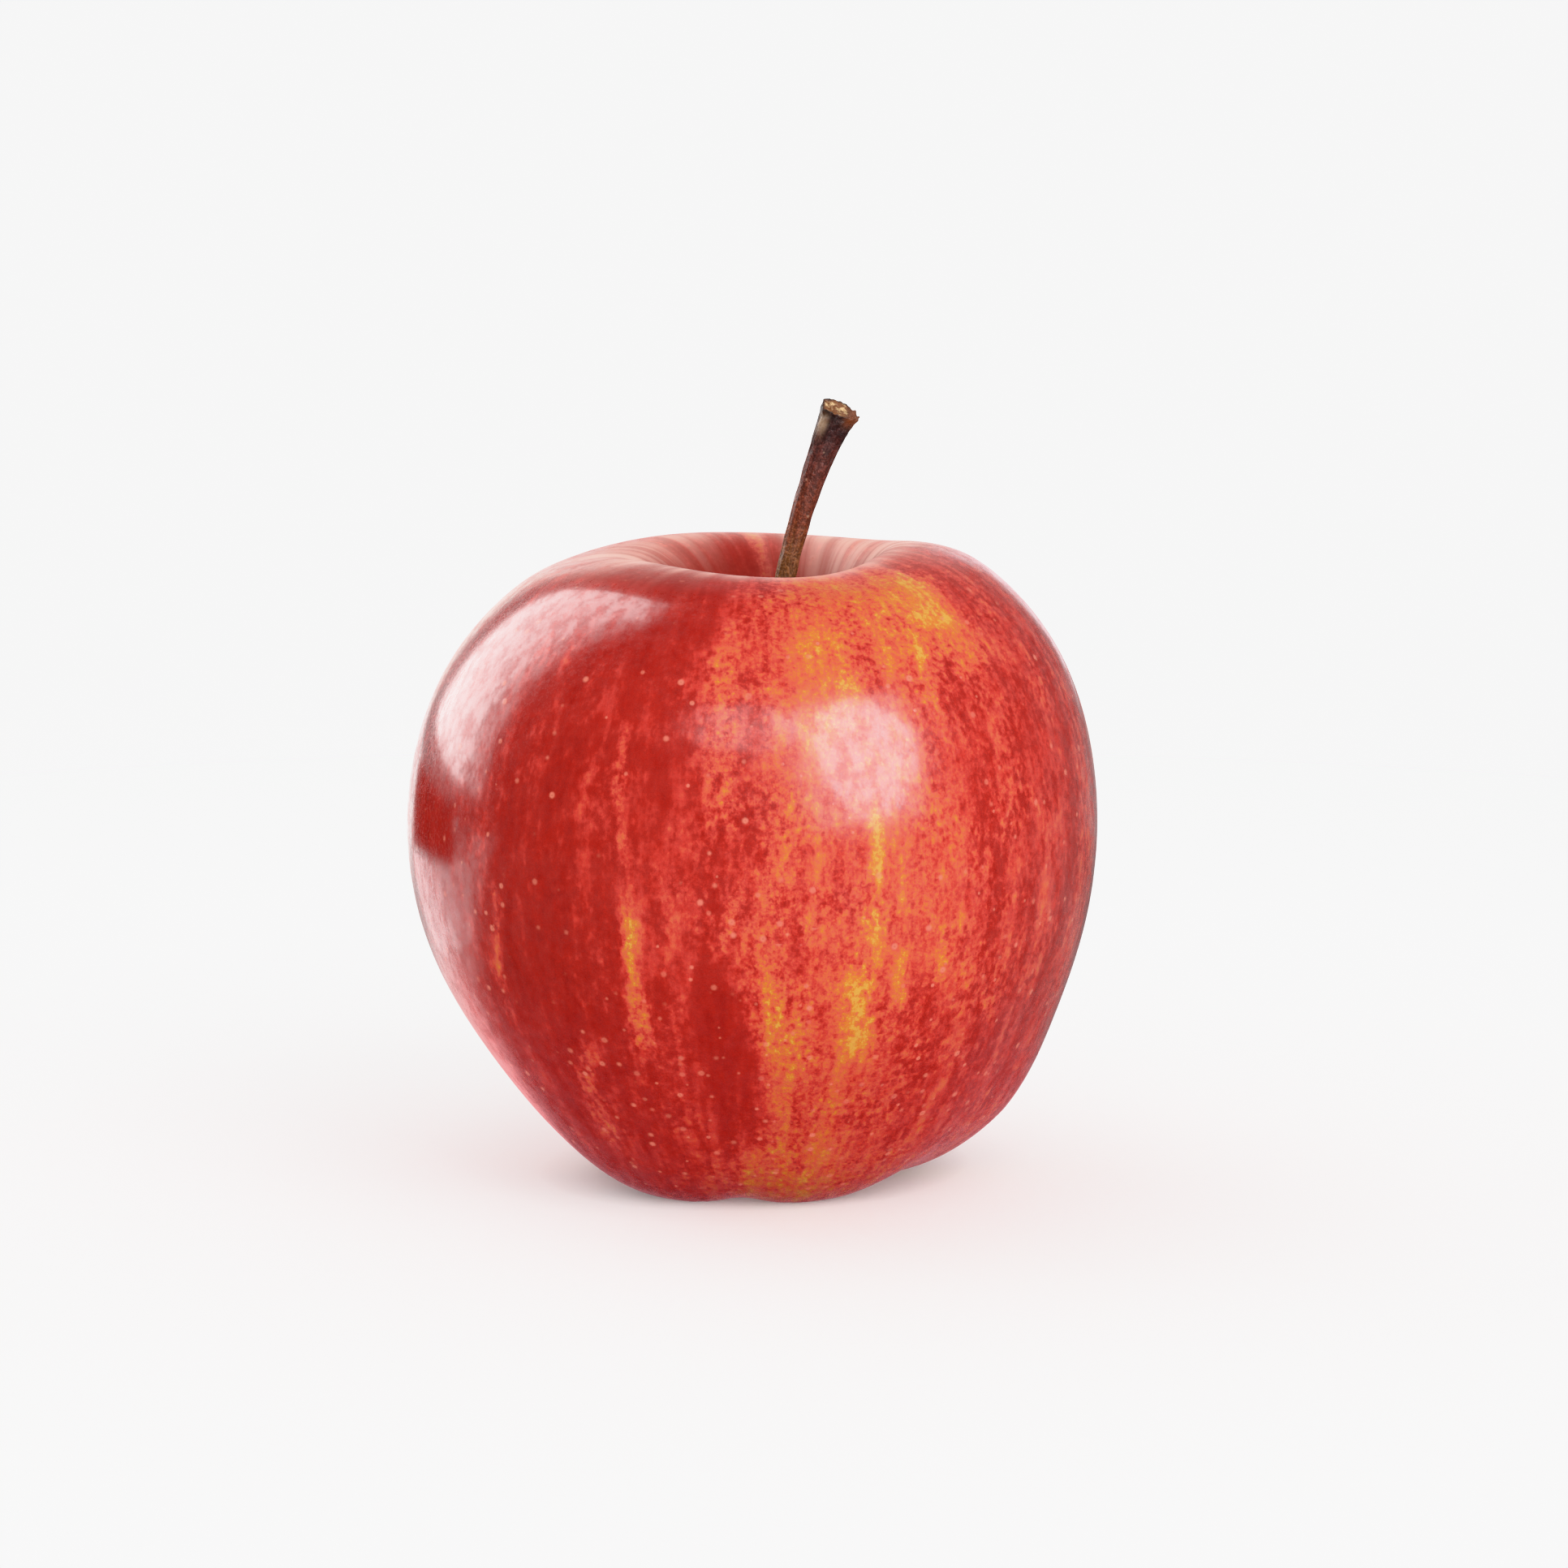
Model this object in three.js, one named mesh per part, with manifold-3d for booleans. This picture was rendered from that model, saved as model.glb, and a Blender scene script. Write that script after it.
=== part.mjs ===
// A ripe red apple standing on its calyx end. It is one grown fruit with a woody stalk in the pit
// at the top, and the dried calyx with its withered stamens in the basin underneath.
// Millimetres, +Z up, front towards -Y, origin on the ground under the middle of the fruit.

import * as THREE from 'three';
import { ParametricGeometry } from 'three/addons/geometries/ParametricGeometry.js';
import { mergeVertices } from 'three/addons/utils/BufferGeometryUtils.js';
import Module from 'manifold-3d';

const wasm = await Module();
wasm.setup();

const TURN = 2 * Math.PI;
const degrees = THREE.MathUtils.degToRad;
const smoothstep = THREE.MathUtils.smoothstep;
const clamp = THREE.MathUtils.clamp;

// ---------------------------------------------------------------- driving dimensions

// Poles of the fruit's outline, as [distance from the core, height]. A smooth curve runs close to
// them, from the floor of the calyx basin, out under the fruit, up the flank and down the pit.
const OUTLINE = {
  basinFloor: [0, 9.2],
  basinBed: [3.4, 9.0],
  basinWall: [6.2, 6.4],
  basinMouth: [8.4, 1.6],
  foot: [12.2, -0.8],
  heel: [19.4, 1.6],
  lowerFlank: [26.6, 9.6],
  flank: [35.6, 22.6],
  lowerBelly: [38.9, 34.2],
  belly: [39.0, 46.8],
  upperFlank: [34.8, 60.0],
  shoulder: [25.6, 69.2],
  crown: [20.8, 70.6],
  rim: [13.8, 71.8],
  pitMouth: [9.6, 66.2],
  pitWall: [6.4, 60.0],
  pitBed: [3.2, 54.6],
  pitFloor: [0, 54.0],
};

// The five lobes over the seed chambers: strong round the feet, faint at the belly.
const LOBES = {
  count: 5,
  first: degrees(-135),
  broadness: 0.22,
  unevenness: 0.1,
  unevenFrom: degrees(-40),
  bellySwell: 0.003,
  footSwell: 0.016,
  footDrop: 0.62,
};
const LOW_END = [0, 46];
const TOP_END = [30, 70];
const FOOT_RADIUS = 14;
const RIM_RADIUS = 20;

// Where this fruit departs from an even one, in millimetres, with azimuths from +X.
const RIM_WAVES = [
  { count: 1, height: 0.4, crest: degrees(13) },
  { count: 2, height: 0.4, crest: degrees(9) },
  { count: 3, height: 0.6, crest: degrees(-11) },
  { count: 5, height: 0.1, crest: degrees(-83) },
];
const RAISED_FOOT = { height: 0.85, azimuth: degrees(8) };
const FULL_FRONT = { height: 0.58, azimuth: degrees(-97), narrowness: 12 };
const FULL_HEEL = { swell: 3.5, height: 7, band: 12 };
const CORE_SHIFT = { crown: 0.3, pit: 2.5, pitRadius: [4, 20] };

const FRUIT_MESH = { around: 64, rowsPerPole: 3 };

// The stalk: a bent shank that flares to a torn end, on a cubic curve in the plane of its bend.
const STALK = {
  seat: 52,
  curve: [[0, 0], [0, 10], [3.6, 26.0], [8.3, 35.2]],
  shank: 1.15,
  head: 2.25,
  flare: 6,
  flatness: 0.8,
  tear: 0.95,
  drop: 0.3,
  cup: 0.3,
  sides: 12,
  rows: 22,
};
const STALK_SOCKET = { radius: 1.6, sides: 24 };

// The calyx: a ring in a seat in the basin floor, with five dried sepals hanging from it.
const CALYX = { seat: 10.2, seatRadius: 3.9, ringOuter: 3.6, ringInner: 2.4, ringDepth: 1.5 };
const SEPAL = { width: 3.9, thickness: 0.8, channel: 0.7, sides: 10, rows: 11 };
const SEPALS = [
  { azimuth: degrees(-124), length: 1.0, curl: 1.0 },
  { azimuth: degrees(-52), length: 0.9, curl: 0.4 },
  { azimuth: degrees(18), length: 1.05, curl: 0.9 },
  { azimuth: degrees(92), length: 0.85, curl: 0.1 },
  { azimuth: degrees(164), length: 1.0, curl: 0.7 },
];

// The withered stamens stand in a tuft on the middle of the seat, inside the calyx ring.
const STAMENS = {
  count: 11,
  bedRadius: 1.9,
  bedDepth: 1.0,
  innerRing: 0.5,
  outerRing: 1.45,
  length: 4.2,
  thickness: 0.34,
  anther: 0.3,
  sides: 5,
  rows: 6,
};
const GOLDEN_ANGLE = degrees(137.5);

// ---------------------------------------------------------------- solids and meshes

// The closed solid inside a geometry's surface, without the collapsed triangles at its poles.
function solid(geometry) {
  geometry.deleteAttribute('normal');
  geometry.deleteAttribute('uv');
  const merged = mergeVertices(geometry, 1e-3);
  const corners = merged.index.array;
  const triangles = [];
  for (let i = 0; i < corners.length; i += 3) {
    const [a, b, c] = corners.subarray(i, i + 3);
    if (a !== b && b !== c && c !== a) triangles.push(a, b, c);
  }
  return new wasm.Manifold(new wasm.Mesh({
    numProp: 3,
    vertProperties: merged.attributes.position.array,
    triVerts: new Uint32Array(triangles),
  }));
}

// The surface of a solid, as a geometry.
function surface(body) {
  const { vertProperties, triVerts } = body.getMesh();
  const geometry = new THREE.BufferGeometry();
  geometry.setAttribute('position', new THREE.BufferAttribute(vertProperties, 3));
  geometry.setIndex(new THREE.BufferAttribute(triVerts, 1));
  geometry.computeVertexNormals();
  return geometry;
}

// An upright cylinder with its foot at a height.
function post(radius, foot, height, sides) {
  const geometry = new THREE.CylinderGeometry(radius, radius, height, sides);
  return geometry.rotateX(Math.PI / 2).translate(0, 0, foot + height / 2);
}

// A closed shoot along a cubic curve in the XZ plane. section(angle, along) gives its size across
// the plane and in it, and lift(angle, along, reach) moves a point on along the curve, where
// reach is 1 on the side and falls to 0 at the middle of each end.
function shoot(poles, section, lift, sides, rows) {
  const curve = new THREE.CubicBezierCurve(...poles.map(([x, z]) => new THREE.Vector2(x, z)));
  const cap = 1 / (rows + 2);
  const point = (u, v, target) => {
    const angle = TURN * u;
    const along = clamp((v - cap) / (1 - 2 * cap), 0, 1);
    const reach = clamp(Math.min(v, 1 - v) / cap, 0, 1);
    const middle = curve.getPoint(along);
    const ahead = curve.getTangent(along);
    const [across, within, bow = 0] = section(angle, along);
    const side = reach * across;
    const out = reach * (within + bow);
    const on = lift(angle, along, reach);
    target.set(middle.x + ahead.y * out + ahead.x * on, side, middle.y - ahead.x * out + ahead.y * on);
  };
  return new ParametricGeometry(point, sides, rows + 2);
}

// ---------------------------------------------------------------- fruit

// A cubic B-spline through the neighbourhood of the outline's poles. The two ends are mirrored in
// the core, so that the skin crosses it level. Returns [distance from the core, height].
function outline(along) {
  const poles = Object.values(OUTLINE);
  const last = poles.length - 1;
  const mirrored = ([radius, height]) => [-radius, height];
  const run = [mirrored(poles[1]), ...poles, mirrored(poles[last - 1])];
  const place = clamp(along, 0, 1) * last;
  const first = Math.min(Math.floor(place), last - 1);
  const t = place - first;
  const weights = [
    (1 - t) ** 3,
    3 * t ** 3 - 6 * t ** 2 + 4,
    -3 * t ** 3 + 3 * t ** 2 + 3 * t + 1,
    t ** 3,
  ];
  return [0, 1].map((axis) => weights.reduce((sum, w, i) => sum + w * run[first + i][axis], 0) / 6);
}

// How far the core stands to the right of the origin, at a distance from it and a height.
function coreShift(distance, height) {
  const top = smoothstep(height, ...TOP_END);
  const inPit = 1 - smoothstep(distance, ...CORE_SHIFT.pitRadius);
  return top * (CORE_SHIFT.crown + CORE_SHIFT.pit * inPit);
}

// A point of the skin at an azimuth and a place on the outline, 0 in the basin and 1 in the pit.
function skin(azimuth, along, target) {
  const [distance, height] = outline(along);
  const low = 1 - smoothstep(height, ...LOW_END);
  const top = smoothstep(height, ...TOP_END);
  const ringed = (distance / FOOT_RADIUS) ** 2;
  const foot = low * (ringed * Math.exp(1 - ringed)) ** 2;

  const uneven = LOBES.unevenness * Math.sin(azimuth - LOBES.unevenFrom);
  const phase = LOBES.count * (azimuth - LOBES.first + uneven);
  const lobe = Math.cos(phase) - LOBES.broadness * Math.cos(2 * phase);
  const radius = distance * (1 + (LOBES.bellySwell + LOBES.footSwell * low) * lobe);

  const onRim = top * Math.min(distance / RIM_RADIUS, 1);
  const wave = RIM_WAVES.reduce((sum, w) => sum + w.height * Math.cos(w.count * (azimuth - w.crest)), 0);
  const towardsRaised = Math.max(Math.cos(azimuth - RAISED_FOOT.azimuth), 0) ** 3;
  const towardsFront = Math.max(Math.cos(azimuth - FULL_FRONT.azimuth), 0) ** FULL_FRONT.narrowness;
  const drop = LOBES.footDrop * lobe + FULL_FRONT.height * towardsFront - RAISED_FOOT.height * towardsRaised;
  const rise = onRim * wave - foot * drop;

  const atHeel = Math.exp(-(((height - FULL_HEEL.height) / FULL_HEEL.band) ** 2));
  const heelSwell = FULL_HEEL.swell * atHeel * Math.max(Math.cos(azimuth), 0) ** 2 * Math.min(distance / 25, 1);

  target.set(
    radius * Math.cos(azimuth) + coreShift(distance, height) + heelSwell,
    radius * Math.sin(azimuth),
    Math.max(height + rise, 0),
  );
}

const pitCentre = coreShift(...outline(1));
const basinCentre = coreShift(...outline(0));

// The whole fruit, with a socket for the stalk in the pit and a seat for the calyx in the basin.
function fruitGeometry() {
  const rows = FRUIT_MESH.rowsPerPole * (Object.keys(OUTLINE).length - 1);
  const whole = solid(new ParametricGeometry((u, v, p) => skin(TURN * u, v, p), FRUIT_MESH.around, rows));
  const socket = post(STALK_SOCKET.radius, STALK.seat, 10, STALK_SOCKET.sides).translate(pitCentre, 0, 0);
  const seat = post(CALYX.seatRadius, CALYX.seat - 6, 6, STALK_SOCKET.sides).translate(basinCentre, 0, 0);
  return surface(whole.subtract(solid(socket)).subtract(solid(seat)));
}

// ---------------------------------------------------------------- stalk

// A shank, wider in the plane of its bend towards the flared head. Its end is torn off on a slant,
// low in front and high behind, drops a little on the left, and is cupped.
function stalkGeometry() {
  const section = (angle, along) => {
    const flare = along ** STALK.flare;
    const radius = STALK.shank + (STALK.head - STALK.shank) * flare;
    const narrow = 1 - (1 - STALK.flatness) * flare;
    return [radius * narrow * Math.sin(angle), radius * Math.cos(angle)];
  };
  const lift = (angle, along, reach) => {
    const atEnd = along ** (4 * STALK.flare);
    const right = reach * Math.cos(angle);
    const slant = STALK.tear * reach * Math.sin(angle) * (0.62 - 0.3 * right);
    return atEnd * (slant - STALK.drop * ((1 - right) / 2) ** 2 - STALK.cup * (1 - reach));
  };
  return shoot(STALK.curve, section, lift, STALK.sides, STALK.rows);
}

// ---------------------------------------------------------------- calyx and stamens

// One sepal, hanging from the ring: it narrows to a point and curls outward, and is channelled.
function sepalGeometry({ azimuth, length, curl }) {
  const poles = [
    [3.0, -0.7],
    [2.7, -3.4 * length],
    [2.4 + 1.6 * curl, -6.2 * length],
    [3.4 + 2.4 * curl, -7.4 * length + 1.6 * curl],
  ];
  const section = (angle, along) => {
    const half = 0.5 * SEPAL.width * (1 - 0.82 * along ** 1.6);
    const across = half * Math.sign(Math.cos(angle)) * Math.abs(Math.cos(angle)) ** 0.7;
    const within = 0.5 * SEPAL.thickness * Math.sign(Math.sin(angle)) * Math.abs(Math.sin(angle)) ** 0.6;
    const bow = SEPAL.channel * (0.5 - (across / half) ** 2) * (half / (0.5 * SEPAL.width));
    return [across, -within, bow];
  };
  return shoot(poles, section, () => 0, SEPAL.sides, SEPAL.rows).rotateZ(azimuth);
}

// The ring and its five sepals, grown together.
function calyxGeometry() {
  const { ringInner, ringOuter, ringDepth } = CALYX;
  const corners = [[ringInner, 0], [ringInner, -ringDepth], [ringOuter, -ringDepth], [ringOuter, 0], [ringInner, 0]];
  const ring = new THREE.LatheGeometry(corners.map(([r, z]) => new THREE.Vector2(r, z)), 30);
  const sepals = SEPALS.map((sepal) => solid(sepalGeometry(sepal)));
  return surface(sepals.reduce((body, sepal) => body.add(sepal), solid(ring.rotateX(Math.PI / 2))));
}

// One filament that leans out of the tuft, with a small withered anther at its end.
function stamenGeometry(index) {
  const share = Math.sqrt(index / (STAMENS.count - 1));
  const start = STAMENS.innerRing * share;
  const spread = STAMENS.outerRing * share;
  const length = STAMENS.length * (0.85 + 0.15 * Math.cos(3 * index));
  const poles = [[start, -0.4], [start, -0.5 * length], [spread, -0.6 * length], [spread, -length]];
  const section = (angle, along) => {
    const radius = STAMENS.thickness + STAMENS.anther * smoothstep(along, 0.7, 0.9);
    return [radius * Math.sin(angle), radius * Math.cos(angle)];
  };
  return shoot(poles, section, () => 0, STAMENS.sides, STAMENS.rows).rotateZ(index * GOLDEN_ANGLE);
}

// The filaments on the small round bed that they grow from.
function stamensGeometry() {
  const bed = solid(post(STAMENS.bedRadius, -STAMENS.bedDepth, STAMENS.bedDepth, 20));
  const tuft = Array.from({ length: STAMENS.count }, (_, index) => solid(stamenGeometry(index)));
  return surface(tuft.reduce((body, stamen) => body.add(stamen), bed));
}

// ---------------------------------------------------------------- the assembled apple

function piece(name, geometry, color, roughness, [x, y, z] = [0, 0, 0]) {
  const material = new THREE.MeshStandardMaterial({ name, color, roughness, metalness: 0 });
  const mesh = new THREE.Mesh(geometry, material);
  mesh.name = name;
  mesh.position.set(x, y, z);
  return mesh;
}

const apple = new THREE.Group();
apple.add(
  piece('fruit', fruitGeometry(), '#b8201f', 0.3),
  piece('stem', stalkGeometry(), '#5a3426', 0.8, [pitCentre, 0, STALK.seat]),
  piece('calyx', calyxGeometry(), '#837659', 0.9, [basinCentre, 0, CALYX.seat]),
  piece('stamens', stamensGeometry(), '#4b3524', 0.9, [basinCentre, 0, CALYX.seat]),
);

export default apple;
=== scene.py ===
"""Looks of a ripe red apple: mottled waxy skin, a woody stalk and a dried calyx with its stamens.

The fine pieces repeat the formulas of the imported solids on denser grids. Their sizes are written
in millimetres and become metres when a mesh is made, and the studio's are in metres. +Z is up and
the front faces -Y.
"""

from __future__ import annotations

import logging
import math
from dataclasses import dataclass, field
from enum import Enum

import bpy
import numpy as np
from mathutils import Matrix, Vector


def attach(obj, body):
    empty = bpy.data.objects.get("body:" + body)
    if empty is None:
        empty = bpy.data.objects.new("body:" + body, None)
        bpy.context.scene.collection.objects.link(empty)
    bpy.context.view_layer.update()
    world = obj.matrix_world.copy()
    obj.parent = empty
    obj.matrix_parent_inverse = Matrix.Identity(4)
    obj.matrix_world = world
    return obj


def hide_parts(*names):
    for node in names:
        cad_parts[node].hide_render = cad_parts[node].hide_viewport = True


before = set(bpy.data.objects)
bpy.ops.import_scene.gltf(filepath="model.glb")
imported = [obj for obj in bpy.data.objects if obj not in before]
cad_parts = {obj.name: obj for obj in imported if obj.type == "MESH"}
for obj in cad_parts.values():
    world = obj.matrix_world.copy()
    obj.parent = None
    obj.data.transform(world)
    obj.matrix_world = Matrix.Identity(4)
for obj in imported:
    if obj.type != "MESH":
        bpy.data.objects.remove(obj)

LOG = logging.getLogger("apple")
MM = 0.001
TURN = 2 * math.pi
BODY = "root"
Array = np.ndarray
Piece = bpy.types.Object
Socket = bpy.types.NodeSocket
Colour = tuple[float, float, float]
# The low and high end of a range that is read, and the values that they are mapped to.
Levels = tuple[float, float, float, float]


# ------------------------------------------------------------------ shapes as formulas


def smoothstep(value: Array, low: float, high: float) -> Array:
    """Rises from 0 at low to 1 at high, level at both ends."""
    t = np.clip((value - low) / (high - low), 0.0, 1.0)
    return t * t * (3 - 2 * t)


def levels(value: Array, low: float, high: float, to_low: float, to_high: float) -> Array:
    """A value mapped smoothly from one range to another, and held at its ends."""
    return to_low + (to_high - to_low) * smoothstep(value, low, high)


def hump(value: Array, centre: float, width: float) -> Array:
    """A bell that is 1 at centre and falls by e at width from it."""
    return np.exp(-(((value - centre) / width) ** 2))


def squared(wave: Array, power: float) -> Array:
    """A wave between -1 and 1 made squarer by a power under 1, with its sign kept."""
    return np.sign(wave) * np.abs(wave) ** power


def stacked(x: Array, y: Array, z: Array) -> Array:
    """Points from their three coordinates, each first spread to the shape that all share."""
    return np.stack(np.broadcast_arrays(x, y, z), axis=-1)


def beside(azimuth: Array, degrees: float) -> Array:
    """How many degrees each azimuth in radians is past another in degrees, from -180 to 180."""
    return np.degrees((azimuth - math.radians(degrees) + math.pi) % TURN - math.pi)


def cubic_spline(poles: Array, along: Array) -> Array:
    """Points of a uniform cubic B-spline whose two ends are mirrored in the core.

    Each point is the mean of four neighbouring poles, weighted by the cubic basis functions.

    Args:
        poles: distance from the core and height of each pole, one row each.
        along: places from 0 at the first pole to 1 at the last.

    Returns:
        One row of distance and height for each place.
    """
    mirror = np.array([-1.0, 1.0])
    run = np.vstack([poles[1] * mirror, poles, poles[-2] * mirror])
    last = len(poles) - 1
    place = np.clip(along, 0.0, 1.0) * last
    first = np.minimum(place.astype(int), last - 1)
    t = (place - first)[:, None]
    weights = (
        (1 - t) ** 3,
        3 * t**3 - 6 * t**2 + 4,
        -3 * t**3 + 3 * t**2 + 3 * t + 1,
        t**3,
    )
    return sum(w * run[first + i] for i, w in enumerate(weights)) / 6


def bezier(poles: Array, along: Array) -> tuple[Array, Array]:
    """Points and unit tangents of the cubic curve with four poles.

    Args:
        poles: the four poles, one row each.
        along: places from 0 to 1.

    Returns:
        Points and tangents, one row each for each place.
    """
    t = along[:, None]
    a, b, c, d = poles
    points = (1 - t) ** 3 * a + 3 * (1 - t) ** 2 * t * b + 3 * (1 - t) * t**2 * c + t**3 * d
    slopes = (1 - t) ** 2 * (b - a) + 2 * (1 - t) * t * (c - b) + t**2 * (d - c)
    return points, slopes / np.linalg.norm(slopes, axis=1, keepdims=True)


def ripple(points: Array, wavelength: float, seed: int, waves: int = 14) -> Array:
    """Smooth random height between about -1 and 1 at each point: a sum of plane sine waves.

    Args:
        points: an array whose last axis holds coordinates.
        wavelength: middle wavelength, in the unit of the points.
        seed: seed of the waves' directions, lengths and phases.
        waves: how many waves are added.

    Returns:
        The height at each point, without the last axis.
    """
    draw = np.random.default_rng(seed)
    heading = draw.normal(size=(points.shape[-1], waves))
    heading /= np.linalg.norm(heading, axis=0)
    number = TURN / (wavelength * draw.uniform(0.6, 1.6, waves))
    phase = draw.uniform(0, TURN, waves)
    return np.sin(points @ (heading * number) + phase).sum(axis=-1) * math.sqrt(2 / waves) / 2


@dataclass(frozen=True)
class Bell:
    """A bell on a measure: where its middle is, how wide it is and how high."""

    middle: float
    width: float
    height: float

    def at(self, value: Array) -> Array:
        """Its height at each value."""
        return self.height * hump(value, self.middle, self.width)

    def around(self, azimuth: Array) -> Array:
        """Its height at each azimuth in radians. Its middle and its width are in degrees."""
        return self.height * hump(beside(azimuth, self.middle), 0, self.width)


@dataclass(frozen=True)
class Ripple:
    """A smooth random swing over points: its middle wavelength, its seed and its height."""

    wavelength: float
    seed: int
    height: float = 1.0

    def at(self, points: Array) -> Array:
        """Its height at each point."""
        return self.height * ripple(points, self.wavelength, self.seed)


# ------------------------------------------------------------------ meshes and pieces


def corner_grid(rows: int, columns: int) -> tuple[Array, Array]:
    """Grid places of the corners of the faces of a tube whose two end rows are single points.

    Args:
        rows: rows of the grid, the two ends included.
        columns: columns round the tube.

    Returns:
        Row and column of each corner of the quads (n, 4, 2) and of the end triangles (m, 3, 2).
        The column after the last is counted as such, so that a map can be cut there.
    """
    r, c = np.meshgrid(np.arange(1, rows - 2), np.arange(columns), indexing="ij")
    quads = np.stack([[r, c], [r, c + 1], [r + 1, c + 1], [r + 1, c]], axis=-1)
    around = np.arange(columns)
    first, last = np.zeros(columns, int), np.full(columns, rows - 1)
    low = np.stack([[first, around], [first + 1, around + 1], [first + 1, around]], axis=-1)
    high = np.stack([[last - 1, around], [last - 1, around + 1], [last, around]], axis=-1)
    triangles = np.concatenate([low, high], axis=1)
    return quads.reshape(2, -1, 4).transpose(1, 2, 0), triangles.transpose(1, 2, 0)


def linked(name: str, data: bpy.types.ID) -> Piece:
    """A new object in the scene.

    Args:
        name: the object's name.
        data: the mesh, the light or the camera that it holds.

    Returns:
        The object.
    """
    piece = bpy.data.objects.new(name, data)
    bpy.context.scene.collection.objects.link(piece)
    return piece


def add_fields(mesh: bpy.types.Mesh, fields: dict[str, Array]) -> None:
    """Keeps values at a mesh's vertices as attributes.

    Args:
        mesh: the mesh that gets them.
        fields: for each attribute's name, one number or one vector a vertex.
    """
    for name, values in fields.items():
        kind, key = ("FLOAT_VECTOR", "vector") if values.ndim == 2 else ("FLOAT", "value")
        mesh.attributes.new(name, kind, "POINT").data.foreach_set(key, values.ravel())


def closed_tube(name: str, points: Array, fields: dict[str, Array], mapped: bool = False) -> Piece:
    """A closed, smooth mesh of a grid of points that wraps round and ends in a point each way.

    Args:
        name: the piece's name.
        points: (rows, columns, 3) in millimetres, each end row being one point.
        fields: values at the grid's points, (rows, columns) or (rows, columns, 3), by name.
        mapped: whether it also gets a map of its own, columns across and rows up.

    Returns:
        The new object, linked to the scene.
    """
    rows, columns = points.shape[:2]
    last_vertex = 1 + (rows - 2) * columns

    def flat(grid: Array) -> Array:
        """The grid's values at the mesh's vertices, with each end row taken once."""
        shape = (-1, *grid.shape[2:])
        return np.concatenate([grid[0, :1], grid[1:-1].reshape(shape), grid[-1, :1]])

    def number(places: Array) -> Array:
        """Vertex number of each corner, from its row and its column."""
        row, column = places[..., 0], places[..., 1] % columns
        inner = 1 + (row - 1) * columns + column
        return np.where(row == 0, 0, np.where(row == rows - 1, last_vertex, inner))

    quads, triangles = corner_grid(rows, columns)
    mesh = bpy.data.meshes.new(name)
    mesh.from_pydata(flat(points) * MM, [], number(quads).tolist() + number(triangles).tolist())
    add_fields(mesh, {field_name: flat(grid) for field_name, grid in fields.items()})
    if mapped:
        places = np.concatenate([quads.reshape(-1, 2), triangles.reshape(-1, 2)])
        shares = places[:, ::-1] / (columns, rows - 1)
        mesh.uv_layers.new(name="OFBake").uv.foreach_set("vector", shares.ravel())
    mesh.shade_smooth()
    return linked(name, mesh)


def joined(name: str, parts: list[Piece]) -> Piece:
    """One object of several, whose meshes lie side by side in it.

    Args:
        name: the new name of the object and of its mesh.
        parts: the objects, of which the first takes in the others.

    Returns:
        The first object, with all the meshes.
    """
    with bpy.context.temp_override(active_object=parts[0], selected_editable_objects=parts):
        bpy.ops.object.join()
    parts[0].name = parts[0].data.name = name
    return parts[0]


def dress_piece(piece: Piece, node: str, material: bpy.types.Material) -> None:
    """Gives a finished piece its material and its body, hides its CAD node, and reports it.

    Args:
        piece: the piece.
        node: the CAD node that it stands for.
        material: its material.
    """
    piece.data.materials.clear()
    piece.data.materials.append(material)
    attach(piece, BODY)
    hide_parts(node)
    LOG.info("%s stands for %s: %d faces", piece.name, node, len(piece.data.polygons))


# ------------------------------------------------------------------ shader nodes


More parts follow.
